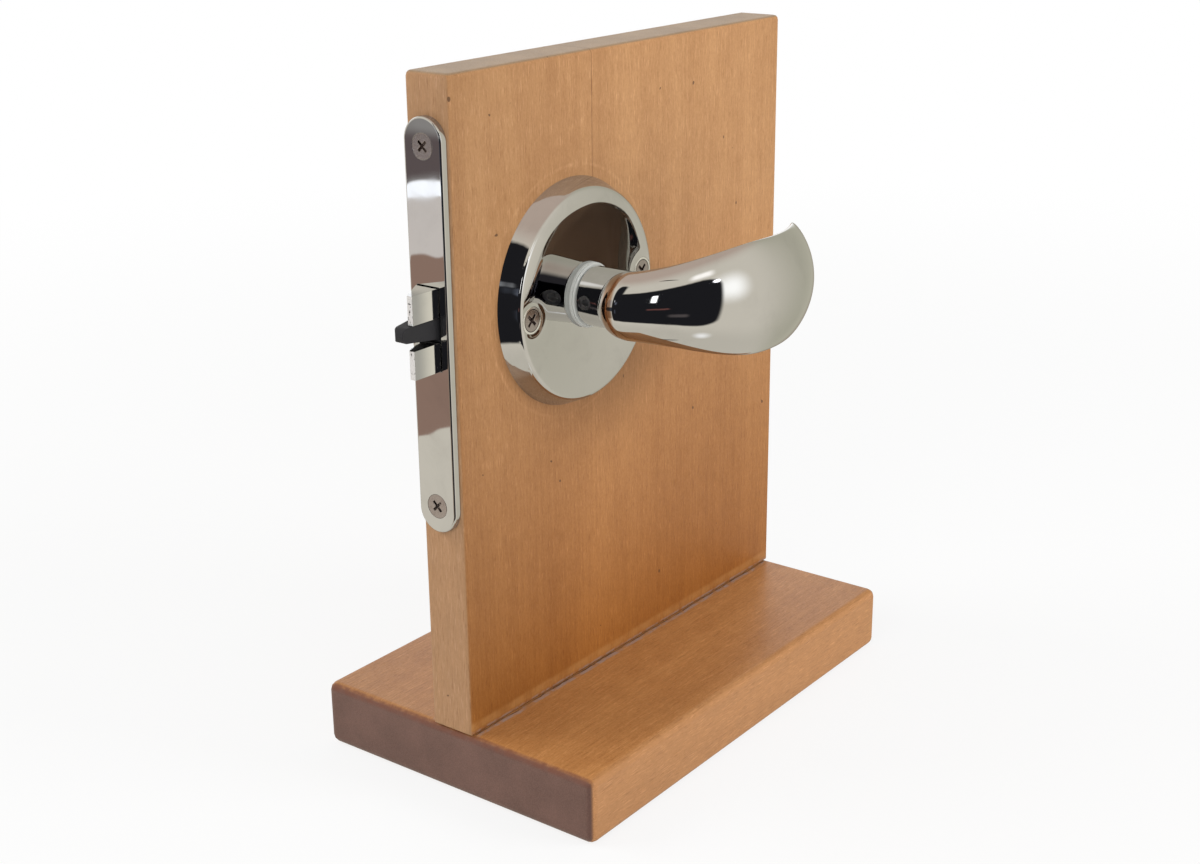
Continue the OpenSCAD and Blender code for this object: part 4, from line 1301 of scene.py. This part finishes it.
def make_lamps():
    """A soft key lamp low at the front right, and weaker ones from the left and from behind.

    Metal doesn't mirror them.
    """
    key_power = settings("stage").key_power
    for name, (place, size, share) in LAMPS.items():
        data = bpy.data.lights.new(name, "AREA")
        data.shape = "RECTANGLE"
        data.size, data.size_y = size
        data.energy = key_power * share
        lamp = add_object(name, data)
        lamp.location = place
        lamp.rotation_mode = "QUATERNION"
        lamp.rotation_quaternion = (LAMP_TARGET - Vector(place)).to_track_quat("-Z", "Y")
        lamp.visible_glossy = False
        lamp.visible_camera = False


def make_world():
    """White behind the object, even light on it, and a pale tent with a dark opening in its metal."""
    world = bpy.data.worlds.new("studio")
    bpy.context.scene.world = world
    world.use_nodes = True
    tree = world.node_tree
    tree.nodes.clear()
    place = add_node(tree, "TexCoord").outputs["Generated"]
    axes = split(tree, place)
    degrees = 180 / math.pi
    azimuth = arithmetic(tree, "ARCTAN2", axes["X"], product(tree, axes["Y"], -1.0))
    azimuth = product(tree, azimuth, degrees)
    elevation = product(tree, arithmetic(tree, "ARCSINE", axes["Z"]), degrees)
    waves = arithmetic(tree, "SUBTRACT", noise(tree, place, 24.0, 2.0, 0.5), 0.5)
    elevation = arithmetic(tree, "ADD", elevation, product(tree, waves, TENT_WAVES))
    colour = tent_colour(tree, azimuth, elevation)
    for middle, half, corner, softness, shade, strength in TENT_CARDS:
        inputs = {
            "Azimuth": azimuth, "Elevation": elevation, "Middle Azimuth": middle[0],
            "Middle Elevation": middle[1], "Half Width": half[0], "Half Height": half[1],
            "Corner": corner, "Softness": softness,
        }
        card = use_group(tree, "studio_card", build_card, inputs)
        colour = lay(tree, colour, shade, card["Mask"], strength)
    tent, even, white = (
        add_node(tree, "Background", {"Color": shade, "Strength": strength}).outputs[0]
        for shade, strength in ((colour, 1.0), ((1, 1, 1), settings("stage").ambient), ((1, 1, 1), 1.0))
    )
    path = add_node(tree, "LightPath").outputs
    lit = mix_shaders(tree, mirrored_ray(tree, path), even, tent)
    seen = mix_shaders(tree, path["Is Camera Ray"], lit, white)
    add_node(tree, "OutputWorld", {"Surface": seen})


def tent_colour(tree, azimuth, elevation):
    """The tent's own colour: cream all round, greyer to the right and brownish from above and below.

    To the far right a brown strip lies below a bright window.
    """
    colour = blend_colours(tree, remap(tree, azimuth, 10.0, 85.0), (0.80, 0.75, 0.65), (0.54, 0.52, 0.42))
    colour = blend_colours(tree, remap(tree, elevation, 42.0, 72.0), colour, (0.62, 0.50, 0.42))
    colour = blend_colours(tree, remap(tree, elevation, -35.0, -60.0), colour, (0.70, 0.66, 0.57))
    away = remap(tree, azimuth, 96.0, 118.0)
    for low, high, shade in (
        ((-50.0, -38.0), (0.0, 8.0), (0.32, 0.27, 0.22)),
        ((5.0, 12.0), (28.0, 40.0), (1.5, 1.5, 1.5)),
    ):
        strip = product(tree, remap(tree, elevation, *low), remap(tree, elevation, *high, 1.0, 0.0))
        colour = lay(tree, colour, shade, away, strip)
    return colour


class LATCH_PT_sidebar(bpy.types.Panel):
    """Lists the steps that make the latch's looks"""

    bl_idname = "LATCH_PT_sidebar"
    bl_label = "Mortise lever latch"
    bl_space_type = "VIEW_3D"
    bl_region_type = "UI"
    bl_category = "Latch"

    def draw(self, context):
        for step in STEPS:
            self.layout.operator(step.bl_idname)
        for group in SETTINGS:
            box = self.layout.box()
            values = getattr(context.scene, group)
            for name in values.__annotations__:
                box.prop(values, name)


STEPS = (
    LATCH_OT_boards,
    LATCH_OT_levers,
    LATCH_OT_roses,
    LATCH_OT_face_plate,
    LATCH_OT_bolt,
    LATCH_OT_screws,
    LATCH_OT_inner_parts,
    LATCH_OT_stage,
)
SETTINGS = {
    "latch_wood": WoodSettings,
    "latch_metal": MetalSettings,
    "latch_nylon": NylonSettings,
    "latch_lever": LeverSettings,
    "latch_stage": StageSettings,
}


def register():
    """Registers the settings, steps and panel."""
    for name, group in SETTINGS.items():
        bpy.utils.register_class(group)
        setattr(bpy.types.Scene, name, bpy.props.PointerProperty(type=group))
    for step in STEPS:
        bpy.utils.register_class(step)
    bpy.utils.register_class(LATCH_PT_sidebar)


def unregister():
    """Takes them all out again."""
    bpy.utils.unregister_class(LATCH_PT_sidebar)
    for step in reversed(STEPS):
        bpy.utils.unregister_class(step)
    for name, group in SETTINGS.items():
        delattr(bpy.types.Scene, name)
        bpy.utils.unregister_class(group)


def main():
    """Makes every piece and the stage."""
    register()
    bpy.ops.latch.boards()
    bpy.ops.latch.levers()
    bpy.ops.latch.roses()
    bpy.ops.latch.face_plate()
    bpy.ops.latch.bolt()
    bpy.ops.latch.screws()
    bpy.ops.latch.inner_parts()
    bpy.ops.latch.stage()


if __name__ == "__main__":
    main()
